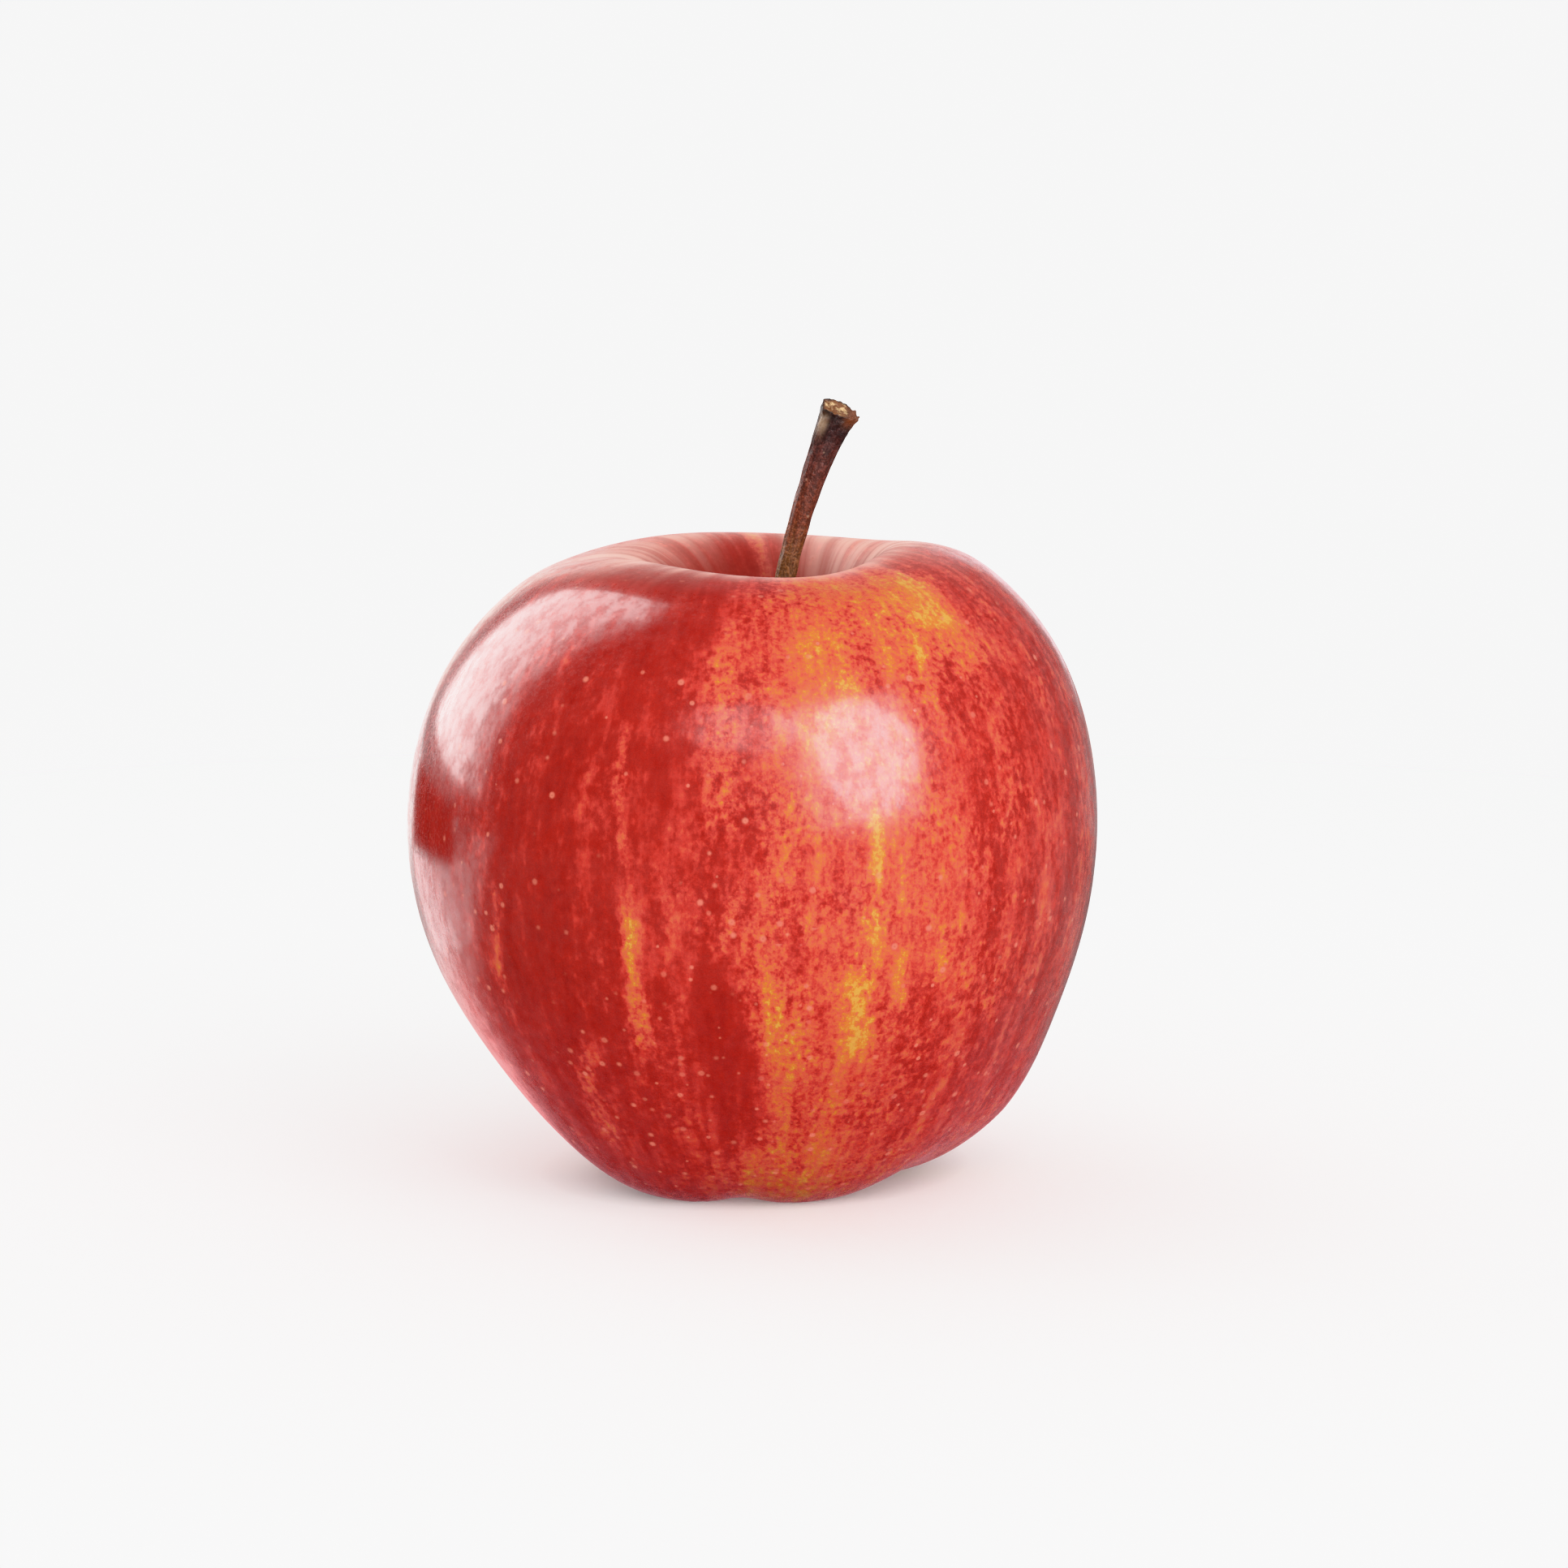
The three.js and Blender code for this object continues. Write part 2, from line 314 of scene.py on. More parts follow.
class Graph:
    """Short calls that add nodes to one shader tree and join them up."""

    def __init__(self, tree: bpy.types.NodeTree) -> None:
        """Keeps the tree that the nodes go into."""
        self.tree = tree

    def node(self, kind: str, inputs: dict | None = None, **settings: object) -> bpy.types.Node:
        """A node with its settings, and its inputs set or linked.

        Args:
            kind: the node's type, without its ShaderNode prefix.
            inputs: for each input's name or number, a value or the socket that feeds it.
            **settings: the node's own properties.

        Returns:
            The node.
        """
        made = self.tree.nodes.new(f"ShaderNode{kind}")
        for key, value in settings.items():
            setattr(made, key, value)
        for key, value in (inputs or {}).items():
            self.feed(made.inputs[key], value)
        return made

    def feed(self, socket: Socket, value: object) -> None:
        """Links a socket to an input, or sets the input's value.

        Args:
            socket: the input.
            value: the socket that feeds it, or else its number, vector or colour.
        """
        if isinstance(value, Socket):
            self.tree.links.new(value, socket)
        elif isinstance(value, tuple) and socket.type == "RGBA":
            socket.default_value = (*value, 1.0)
        else:
            socket.default_value = value

    def maths(self, operation: str, *values: object) -> Socket:
        """The result of a Math node on values or sockets."""
        return self.node("Math", dict(enumerate(values)), operation=operation).outputs[0]

    def product(self, first: object, second: object) -> Socket:
        """Two numbers multiplied."""
        return self.maths("MULTIPLY", first, second)

    def attribute(self, name: str, vector: bool = False) -> Socket:
        """A mesh attribute, as a number or a vector."""
        return self.node("Attribute", attribute_name=name).outputs["Vector" if vector else "Fac"]

    def place(self) -> Socket:
        """The object's own coordinates."""
        return self.node("TexCoord").outputs["Object"]

    def scaled(self, vector: Socket, scale: tuple[float, float, float]) -> Socket:
        """A vector with each of its coordinates scaled."""
        return self.node("Mapping", {"Vector": vector, "Scale": scale}).outputs[0]

    def noise(self, vector: Socket, size: float, detail: float, rough: float = 0.5) -> Socket:
        """Noise around 0.5 whose main grains are size millimetres apart."""
        inputs = {"Vector": vector, "Scale": 1 / (size * MM), "Detail": detail, "Roughness": rough}
        return self.node("TexNoise", inputs).outputs["Fac"]

    def ramp(self, value: object, stops: dict[float, Colour]) -> Socket:
        """The colour at a value, mixed from the two stops that it lies between.

        Args:
            value: a number, or the socket that gives it.
            stops: the colours by value, two of them or more.

        Returns:
            The colour.
        """
        made = self.node("ValToRGB", {0: value})
        elements = made.color_ramp.elements
        while len(elements) < len(stops):
            elements.new(0.5)
        for element, (position, colour) in zip(elements, sorted(stops.items())):
            element.position, element.color = position, (*colour, 1.0)
        return made.outputs["Color"]

    def levels(
        self, value: object, low: object, high: object, to_low: object = 0.0, to_high: object = 1.0
    ) -> Socket:
        """A value mapped smoothly from one range to another, and held at its ends.

        Each argument is a number, or the socket that gives it.

        Args:
            value: the value that is mapped.
            low: where the range that is read starts.
            high: where that range ends.
            to_low: what its start becomes.
            to_high: what its end becomes.

        Returns:
            The mapped value.
        """
        inputs = {"Value": value, "From Min": low, "From Max": high}
        inputs |= {"To Min": to_low, "To Max": to_high}
        return self.node("MapRange", inputs, interpolation_type="SMOOTHSTEP").outputs[0]

    def between(self, share: object, first: object, second: object) -> Socket:
        """A number that goes from the first to the second as the share goes from 0 to 1."""
        return self.node("Mix", {0: share, 2: first, 3: second}, data_type="FLOAT").outputs[0]

    def mixed(self, share: object, first: object, second: object, blend: str = "MIX") -> Socket:
        """Two colours blended by a share."""
        made = self.node("Mix", {0: share, 6: first, 7: second}, data_type="RGBA", blend_type=blend)
        return made.outputs[2]

    def colour(self, red: object, green: object, blue: object) -> Socket:
        """A colour of three numbers."""
        return self.node("CombineColor", {0: red, 1: green, 2: blue}).outputs[0]

    def bump(self, height: object, depth: float, under: object = None) -> Socket:
        """The normal of a surface in relief.

        Args:
            height: the relief, as the socket that gives it.
            depth: how many millimetres a relief of 1 stands up.
            under: the normal of another relief that lies under this one.

        Returns:
            The normal.
        """
        inputs = {"Height": height, "Strength": 1.0, "Distance": depth * MM}
        if under is not None:
            inputs["Normal"] = under
        return self.node("Bump", inputs).outputs[0]


@dataclass(frozen=True)
class Mottle:
    """One noise of a finish.

    Its main grains are size millimetres apart, detail and rough say how finely they break up, and
    upright is their spacing across over their spacing up: under 1 they are drawn out into stripes.
    """

    size: float
    detail: float
    rough: float = 0.5
    upright: float = 1.0

    def over(self, graph: Graph, vector: Socket) -> Socket:
        """The noise over a piece.

        Args:
            graph: the graph that it goes into.
            vector: the place on the piece, whose third coordinate runs up the piece.

        Returns:
            The noise, around 0.5.
        """
        if self.upright != 1.0:
            vector = graph.scaled(vector, (1, 1, self.upright))
        return graph.noise(vector, self.size, self.detail, self.rough)


class Group(Enum):
    """The shader groups that more than one material uses."""

    GRAIN = "Two sizes of grain"
    PORES = "Scattered pores"


def group_tree(
    group: Group, numbers: dict[str, float], outputs: tuple[str, ...]
) -> tuple[Graph, dict[str, Socket], dict[str, Socket]]:
    """An empty shader group with a vector and some numbers for inputs.

    Args:
        group: which group it is.
        numbers: each number's name and default.
        outputs: the names of the values that it puts out.

    Returns:
        Its graph, its input sockets by name and its output node's sockets by name.
    """
    tree = bpy.data.node_groups.new(group.value, "ShaderNodeTree")
    tree.interface.new_socket("Vector", in_out="INPUT", socket_type="NodeSocketVector")
    for name, value in numbers.items():
        socket = tree.interface.new_socket(name, in_out="INPUT", socket_type="NodeSocketFloat")
        socket.default_value = value
    for name in outputs:
        tree.interface.new_socket(name, in_out="OUTPUT", socket_type="NodeSocketFloat")
    entry, result = tree.nodes.new("NodeGroupInput"), tree.nodes.new("NodeGroupOutput")
    return Graph(tree), dict(entry.outputs.items()), dict(result.inputs.items())


def build_grain() -> None:
    """Makes the grain: noise of two sizes, blended by a share."""
    numbers = {"Coarse": 500.0, "Fine": 2000.0, "Share": 0.4}
    graph, given, result = group_tree(Group.GRAIN, numbers, ("Value",))
    place = given["Vector"]
    coarse = graph.node("TexNoise", {"Vector": place, "Scale": given["Coarse"], "Detail": 3.0})
    fine = graph.node("TexNoise", {"Vector": place, "Scale": given["Fine"], "Detail": 2.0})
    value = graph.between(given["Share"], coarse.outputs["Fac"], fine.outputs["Fac"])
    graph.feed(result["Value"], value)


def build_pores() -> None:
    """Makes the pores: a round spot in a share of the cells, uneven in size and paleness."""
    numbers = {"Scale": 400.0, "Radius": 0.12, "Share": 1.0}
    graph, given, result = group_tree(Group.PORES, numbers, ("Mask", "Heart"))
    inputs = {"Vector": given["Vector"], "Scale": given["Scale"], "Randomness": 1.0}
    cells = graph.node("TexVoronoi", inputs).outputs
    for_size, for_share, for_paleness = graph.node("SeparateColor", {0: cells["Color"]}).outputs
    reach = graph.product(given["Radius"], graph.levels(for_size, 0.0, 1.0, 0.6, 1.3))
    dot = graph.levels(cells["Distance"], reach, 0.0)
    is_open = graph.maths("LESS_THAN", for_share, given["Share"])
    strength = graph.product(is_open, graph.levels(for_paleness, 0.0, 1.0, 0.45, 1.0))
    graph.feed(result["Mask"], graph.product(graph.levels(dot, 0.0, 0.75), strength))
    graph.feed(result["Heart"], graph.product(graph.levels(dot, 0.82, 0.96), strength))


def placed_group(graph: Graph, group: Group, vector: Socket, **numbers: object) -> bpy.types.Node:
    """One of the shader groups, placed in a material with its own values.

    Args:
        graph: the material's graph.
        group: which group it is.
        vector: the place that the group reads.
        **numbers: for each of its other inputs, a number or the socket that gives it.

    Returns:
        The group's node.
    """
    node = graph.node("Group", node_tree=bpy.data.node_groups[group.value])
    graph.feed(node.inputs["Vector"], vector)
    for name, value in numbers.items():
        graph.feed(node.inputs[name], value)
    return node


def new_material(name: str) -> tuple[bpy.types.Material, Graph, bpy.types.Node]:
    """A new material.

    Args:
        name: the material's name.

    Returns:
        The material, its graph and its Principled shader.
    """
    material = bpy.data.materials.new(name)
    material.use_nodes = True
    graph = Graph(material.node_tree)
    return material, graph, material.node_tree.nodes["Principled BSDF"]


# ------------------------------------------------------------------ finishes


@dataclass(frozen=True)
class SkinFinish:
    """Waxy apple skin: red over gold in upright stripes and fine grains, with pale pores.

    It reads these attributes: flush says how red the skin is on average, rim where the pale
    streaked skin of the pit's rim lies, with a painted sheen along its lip and slopes, one
    attribute where painted shade darkens the pit, the low belly and the foot, waxed where it
    shines, low_end how near the foot a place is, and skin_flow is a vector that runs along the
    outline.
    """

    tones: dict[float, Colour] = field(
        default_factory=lambda: {
            0.00: (0.50, 0.27, 0.056),
            0.14: (0.485, 0.165, 0.033),
            0.28: (0.49, 0.118, 0.044),
            0.42: (0.50, 0.085, 0.050),
            0.56: (0.44, 0.046, 0.037),
            0.72: (0.31, 0.025, 0.020),
            1.0: (0.245, 0.016, 0.013),
        }
    )
    pore: Colour = (0.62, 0.18, 0.125)
    pore_heart: Colour = (0.26, 0.08, 0.04)
    # Pale streaks on the pit's rim: partly the skin's own, partly a painted sheen.
    scarf_and_sheen: Colour = (0.68, 0.42, 0.35)
    # Painted shade: a dark red mixed in where the pit and the foot are in shadow.
    painted_shade_colour: Colour = (0.17, 0.008, 0.004)
    roughness: Levels = (0.3, 0.7, 0.16, 0.34)
    wax_roughness: float = 0.13
    wax_ior: float = 1.48
    specular: float = 0.2

    grain_scales: tuple[float, float] = (2300.0, 5200.0)
    grain_share: float = 0.4
    pore_scale: float = 570.0
    pore_radius: float = 0.27
    stripes: Mottle = Mottle(4.0, 2.0, upright=0.10)
    strands: Mottle = Mottle(1.3, 3.0, 0.6, upright=0.25)
    blotches: Mottle = Mottle(2.8, 3.0, 0.55)
    flecks: Mottle = Mottle(0.85, 2.0, 0.6, upright=0.8)
    crowds: Mottle = Mottle(7.0, 2.0)
    scarf_and_sheen_streaks: Mottle = Mottle(5.5, 4.0, upright=0.12)
    waves: Mottle = Mottle(1.5, 4.0, 0.6)
    rubbed: Mottle = Mottle(1.6, 5.0, 0.7, upright=0.6)

    stripe_weight: float = 0.55
    strand_weight: float = 0.6
    blotch_weight: float = 0.40
    fleck_weight: Levels = (0.38, 0.62, 0.5, 1.15)
    fleck_weight_by_flush: Levels = (0.58, 0.76, 1.0, 0.6)
    speckle_by_flush: Levels = (0.80, 0.35, 0.22, 1.2)
    # How strongly the painted shade is mixed in.
    painted_shade_strength: float = 0.65
    scarf_and_sheen_cover: Levels = (0.38, 0.64, 0.40, 0.9)
    pore_share: Levels = (0.0, 1.0, 0.30, 0.85)
    pore_cover: Levels = (0.0, 1.0, 0.1, 0.8)
    heart_cover: float = 0.5
    dull_unwaxed: Levels = (0.0, 1.0, 0.4, 0.0)
    wax_cover: Levels = (0.36, 0.62, 0.25, 0.90)
    wave_depth: float = 0.038
    pore_depth: float = 0.02

    def coverage(self, graph: Graph, grain: Socket) -> Socket:
        """How red each spot is: the flush, broken up by stripes, strands, blotches and grains.

        Each noise less its mean is weighed and added to the flush. The flecks stand in crowds,
        and the grains are strongest where the flush is thin, as red specks over gold.

        Args:
            graph: the skin's graph.
            grain: the skin's grain.

        Returns:
            The value that the tones are read at.
        """
        flow = graph.attribute("skin_flow", vector=True)
        flush = graph.attribute("flush")
        crowded = graph.levels(self.crowds.over(graph, graph.place()), *self.fleck_weight)
        crowded = graph.product(crowded, graph.levels(flush, *self.fleck_weight_by_flush))
        weighed = (
            (self.stripes.over(graph, flow), self.stripe_weight),
            (self.strands.over(graph, flow), self.strand_weight),
            (self.blotches.over(graph, graph.place()), self.blotch_weight),
            (self.flecks.over(graph, graph.place()), crowded),
            (grain, graph.levels(flush, *self.speckle_by_flush)),
        )
        total = flush
        for value, weight in weighed:
            swing = graph.product(graph.maths("SUBTRACT", value, 0.5), weight)
            total = graph.maths("ADD", total, swing)
        return total

    def colour(self, graph: Graph, grain: Socket, pores: bpy.types.Node) -> Socket:
        """The flushed colour, then the painted shade, the rim's pale streaks with their painted
        sheen, and the pores laid over it.

        Args:
            graph: the skin's graph.
            grain: the skin's grain.
            pores: the node of the skin's pores.

        Returns:
            The skin's colour.
        """
        colour = graph.ramp(self.coverage(graph, grain), self.tones)
        # Painted shade: darker in the pit, on the low belly and near the foot.
        shade = graph.product(graph.attribute("painted_shade_share"), self.painted_shade_strength)
        colour = graph.mixed(shade, colour, self.painted_shade_colour)
        # The rim's pale streaks, partly the skin's own and partly a painted sheen.
        scarf_and_sheen_share = self.scarf_and_sheen_streaks.over(graph, graph.attribute("skin_flow", vector=True))
        scarf_and_sheen_share = graph.product(graph.levels(scarf_and_sheen_share, *self.scarf_and_sheen_cover), graph.attribute("rim"))
        colour = graph.mixed(scarf_and_sheen_share, colour, self.scarf_and_sheen)
        cover = graph.levels(graph.attribute("waxed"), *self.pore_cover)
        colour = graph.mixed(graph.product(pores.outputs["Mask"], cover), colour, self.pore)
        hearts = graph.product(pores.outputs["Heart"], self.heart_cover)
        return graph.mixed(hearts, colour, self.pore_heart)

    def build(self) -> bpy.types.Material:
        """The skin: its colour, its dullness, its relief and its rubbed coat of wax.

        Returns:
            The material.
        """
        material, graph, shader = new_material("skin")
        place = graph.place()
        waxed = graph.attribute("waxed")
        coarse, fine = self.grain_scales
        scales = {"Coarse": coarse, "Fine": fine, "Share": self.grain_share}
        grain = placed_group(graph, Group.GRAIN, place, **scales).outputs["Value"]
        crowd = graph.levels(graph.attribute("low_end"), *self.pore_share)
        cells = {"Scale": self.pore_scale, "Radius": self.pore_radius, "Share": crowd}
        pores = placed_group(graph, Group.PORES, place, **cells)
        graph.feed(shader.inputs["Base Color"], self.colour(graph, grain, pores))

        dullness = graph.levels(grain, *self.roughness)
        dullness = graph.maths("ADD", dullness, graph.levels(waxed, *self.dull_unwaxed))
        graph.feed(shader.inputs["Roughness"], dullness)
        relief = graph.bump(self.waves.over(graph, place), self.wave_depth)
        relief = graph.bump(pores.outputs["Mask"], self.pore_depth, relief)
        graph.feed(shader.inputs["Normal"], relief)
        rubbed = graph.levels(self.rubbed.over(graph, place), *self.wax_cover)
        graph.feed(shader.inputs["Coat Weight"], graph.product(rubbed, waxed))
        shader.inputs["Specular IOR Level"].default_value = self.specular
        shader.inputs["Coat Roughness"].default_value = self.wax_roughness
        shader.inputs["Coat IOR"].default_value = self.wax_ior
        return material


@dataclass(frozen=True)
class BarkFinish:
    """Dull reddish brown bark: olive at the foot, nearly black at the head, tan where it tore."""

    tones: dict[float, Colour] = field(
        default_factory=lambda: {
            0.0: (0.17, 0.10, 0.040),
            0.50: (0.19, 0.080, 0.032),
            0.62: (0.17, 0.040, 0.019),
            0.80: (0.105, 0.028, 0.021),
            0.93: (0.040, 0.016, 0.016),
            1.0: (0.030, 0.014, 0.012),
        }
    )
    fleck: Colour = (0.36, 0.22, 0.14)
    lobe: Colour = (0.17, 0.05, 0.018)
    # A pale patch on the head's left, painted as a highlight.
    painted_highlight: Colour = (0.32, 0.21, 0.13)
    torn: tuple[Colour, Colour] = ((0.16, 0.055, 0.016), (0.56, 0.38, 0.19))
    roughness: Levels = (0.3, 0.7, 0.50, 0.77)

    fibres: Mottle = Mottle(0.5, 4.0, 0.6, upright=0.18)
    splinters: Mottle = Mottle(0.9, 3.0, 0.6)
    splintered: tuple[float, float] = (0.50, 0.66)
    fibre_shift: float = 0.22
    grain_light: Levels = (0.40, 0.68, 0.5, 1.6)
    fleck_cover: float = 0.6
    fibre_depth: float = 0.16
    grain_depth: float = 0.12

    def build(self) -> bpy.types.Material:
        """The bark, with its fibres, grain and flecks, and the bare wood of the torn end.

        It reads how far up the stalk a place is, where the head is lobed or torn, and where a pale
        highlight is painted on the head.

        Returns:
            The material.
        """
        material, graph, shader = new_material("bark")
        place = graph.place()
        fibres = self.fibres.over(graph, graph.attribute("flow", vector=True))
        grains = placed_group(graph, Group.GRAIN, place, Coarse=1800.0, Fine=5000.0, Share=0.5)
        grain = grains.outputs["Value"]
        shift = graph.product(graph.maths("SUBTRACT", fibres, 0.5), self.fibre_shift)
        colour = graph.ramp(graph.maths("ADD", graph.attribute("along"), shift), self.tones)
        light = graph.levels(grain, *self.grain_light)
        colour = graph.mixed(1.0, colour, graph.colour(light, light, light), "MULTIPLY")
        pores = placed_group(graph, Group.PORES, place, Scale=900.0, Radius=0.22, Share=0.8)
        flecks = graph.product(pores.outputs["Mask"], self.fleck_cover)
        colour = graph.mixed(flecks, colour, self.fleck)
        colour = graph.mixed(graph.attribute("lobe"), colour, self.lobe)
        # The painted highlight on the head.
        colour = graph.mixed(graph.attribute("painted_highlight"), colour, self.painted_highlight)
        splinters = graph.levels(self.splinters.over(graph, place), *self.splintered)
        wood = graph.mixed(splinters, *self.torn)
        colour = graph.mixed(graph.attribute("torn"), colour, wood)
        graph.feed(shader.inputs["Base Color"], colour)
        graph.feed(shader.inputs["Roughness"], graph.levels(fibres, *self.roughness))
        relief = graph.bump(grain, self.grain_depth, graph.bump(fibres, self.fibre_depth))
        graph.feed(shader.inputs["Normal"], relief)
        return material


@dataclass(frozen=True)
class DriedFinish:
    """Dry leaf or filament: one brownish colour mottled with another, downy and without gloss."""

    name: str
    dark: Colour
    light: Colour
    edge: Colour
    roughness: Levels = (0.3, 0.7, 0.77, 0.85)

    veins: Mottle = Mottle(0.5, 3.0, upright=0.15)
    mottled: tuple[float, float] = (0.36, 0.62)
    worn: Levels = (0.55, 1.0, 0.0, 0.65)
    vein_depth: float = 0.15
    grain_depth: float = 0.08

    def build(self) -> bpy.types.Material:
        """The mottled leaf or filament. It reads how far along it a place is.

        Returns:
            The material.
        """
        material, graph, shader = new_material(self.name)
        place = graph.place()
        grains = placed_group(graph, Group.GRAIN, place, Coarse=1400.0, Fine=4200.0, Share=0.45)
        grain = grains.outputs["Value"]
        veins = self.veins.over(graph, graph.attribute("flow", vector=True))
        share = graph.levels(graph.mixed(0.5, grain, veins), *self.mottled)
        colour = graph.mixed(share, self.dark, self.light)
        worn = graph.levels(graph.attribute("along"), *self.worn)
        graph.feed(shader.inputs["Base Color"], graph.mixed(worn, colour, self.edge))
        graph.feed(shader.inputs["Roughness"], graph.levels(veins, *self.roughness))
        relief = graph.bump(veins, self.vein_depth, graph.bump(grain, self.grain_depth))
        graph.feed(shader.inputs["Normal"], relief)
        return material


# ------------------------------------------------------------------ the fruit


@dataclass(frozen=True)
class Streak:
    """A stripe of thinner or thicker flush, from one azimuth and height down to another.

    Azimuths are in degrees from +X, heights and the half width in millimetres. A positive gold
    thins the red, and a negative one deepens it.
    """

    top: tuple[float, float]
    foot: tuple[float, float]
    width: float
    gold: float

    def share(self, azimuth: Array, height: Array, radius: Array) -> Array:
        """How much of the stripe there is at each place: a bell across it, soft at both ends.

        Args:
            azimuth: azimuth of each place, in radians.
            height: height of each place.
            radius: distance of each place from the core.

        Returns:
            From 0 beside the stripe to 1 at its middle.
        """
        fall = (self.top[1] - height) / (self.top[1] - self.foot[1])
        middle = np.radians(self.top[0] + (self.foot[0] - self.top[0]) * np.clip(fall, 0, 1))
        aside = (azimuth - middle + math.pi) % TURN - math.pi
        soft = 0.22
        ends = smoothstep(fall, -soft, soft) * (1 - smoothstep(fall, 1 - soft, 1 + soft))
        across = np.exp(-np.abs(aside * radius / self.width) ** 3)
        return ends * across * (np.cos(aside) > 0)


STREAKS = (
    Streak((-47, 71.5), (-43, 65.5), 3.8, 0.21),
    Streak((-43, 69.0), (-35, 60.0), 3.6, 0.22),
    Streak((-52, 71.0), (-46, 60.0), 6.0, 0.13),
    Streak((-61, 71.0), (-57, 62.0), 4.5, 0.11),
    Streak((-53, 65.0), (-56, 59.0), 0.9, 0.26),
    Streak((-85, 70.5), (-84, 51.0), 9.5, 0.08),
    Streak((-96, 68.0), (-95, 48.0), 1.6, 0.16),
    Streak((-72, 66.5), (-75, 56.5), 2.4, 0.17),
    Streak((-85, 52.0), (-86, 35.0), 1.8, 0.14),
    Streak((-94, 39.5), (-94, 32.5), 0.8, 0.16),
    Streak((-87, 32.5), (-85, 24.0), 1.3, 0.22),
    Streak((-85, 25.0), (-83, 15.5), 2.4, 0.22),
    Streak((-82, 16.5), (-76, 3.0), 3.8, 0.08),
    Streak((-73.5, 30.0), (-72, 20.5), 1.7, 0.35),
    Streak((-70, 48.0), (-69, 40.5), 1.0, 0.34),
    Streak((-69.5, 37.0), (-69, 30.5), 0.9, 0.24),
    Streak((-58, 34.5), (-56, 28.0), 0.7, 0.22),
    Streak((-65, 32.0), (-64, 25.0), 0.8, 0.20),
    Streak((-44.5, 26.5), (-43, 22.0), 0.8, 0.20),
    Streak((-113, 56.0), (-110, 42.5), 0.8, 0.20),
    Streak((-110, 37.5), (-110, 23.5), 1.0, 0.40),
    Streak((-136, 38.0), (-137, 27.5), 0.8, 0.32),
    Streak((-121, 21.5), (-128, 7.0), 1.6, 0.22),
    Streak((-96, 30.0), (-93, 8.0), 3.2, -0.24),
    Streak((-103, 71.0), (-102, 45.0), 4.5, -0.08),
    Streak((-110, 73.0), (-108, 64.0), 10.0, -0.19),
    Streak((-90, 60.0), (-90, 50.0), 1.6, -0.10),
    Streak((-62, 58.0), (-60, 30.0), 4.0, 0.05),
    Streak((-50, 26.0), (-52, 4.0), 9.0, -0.05),
)


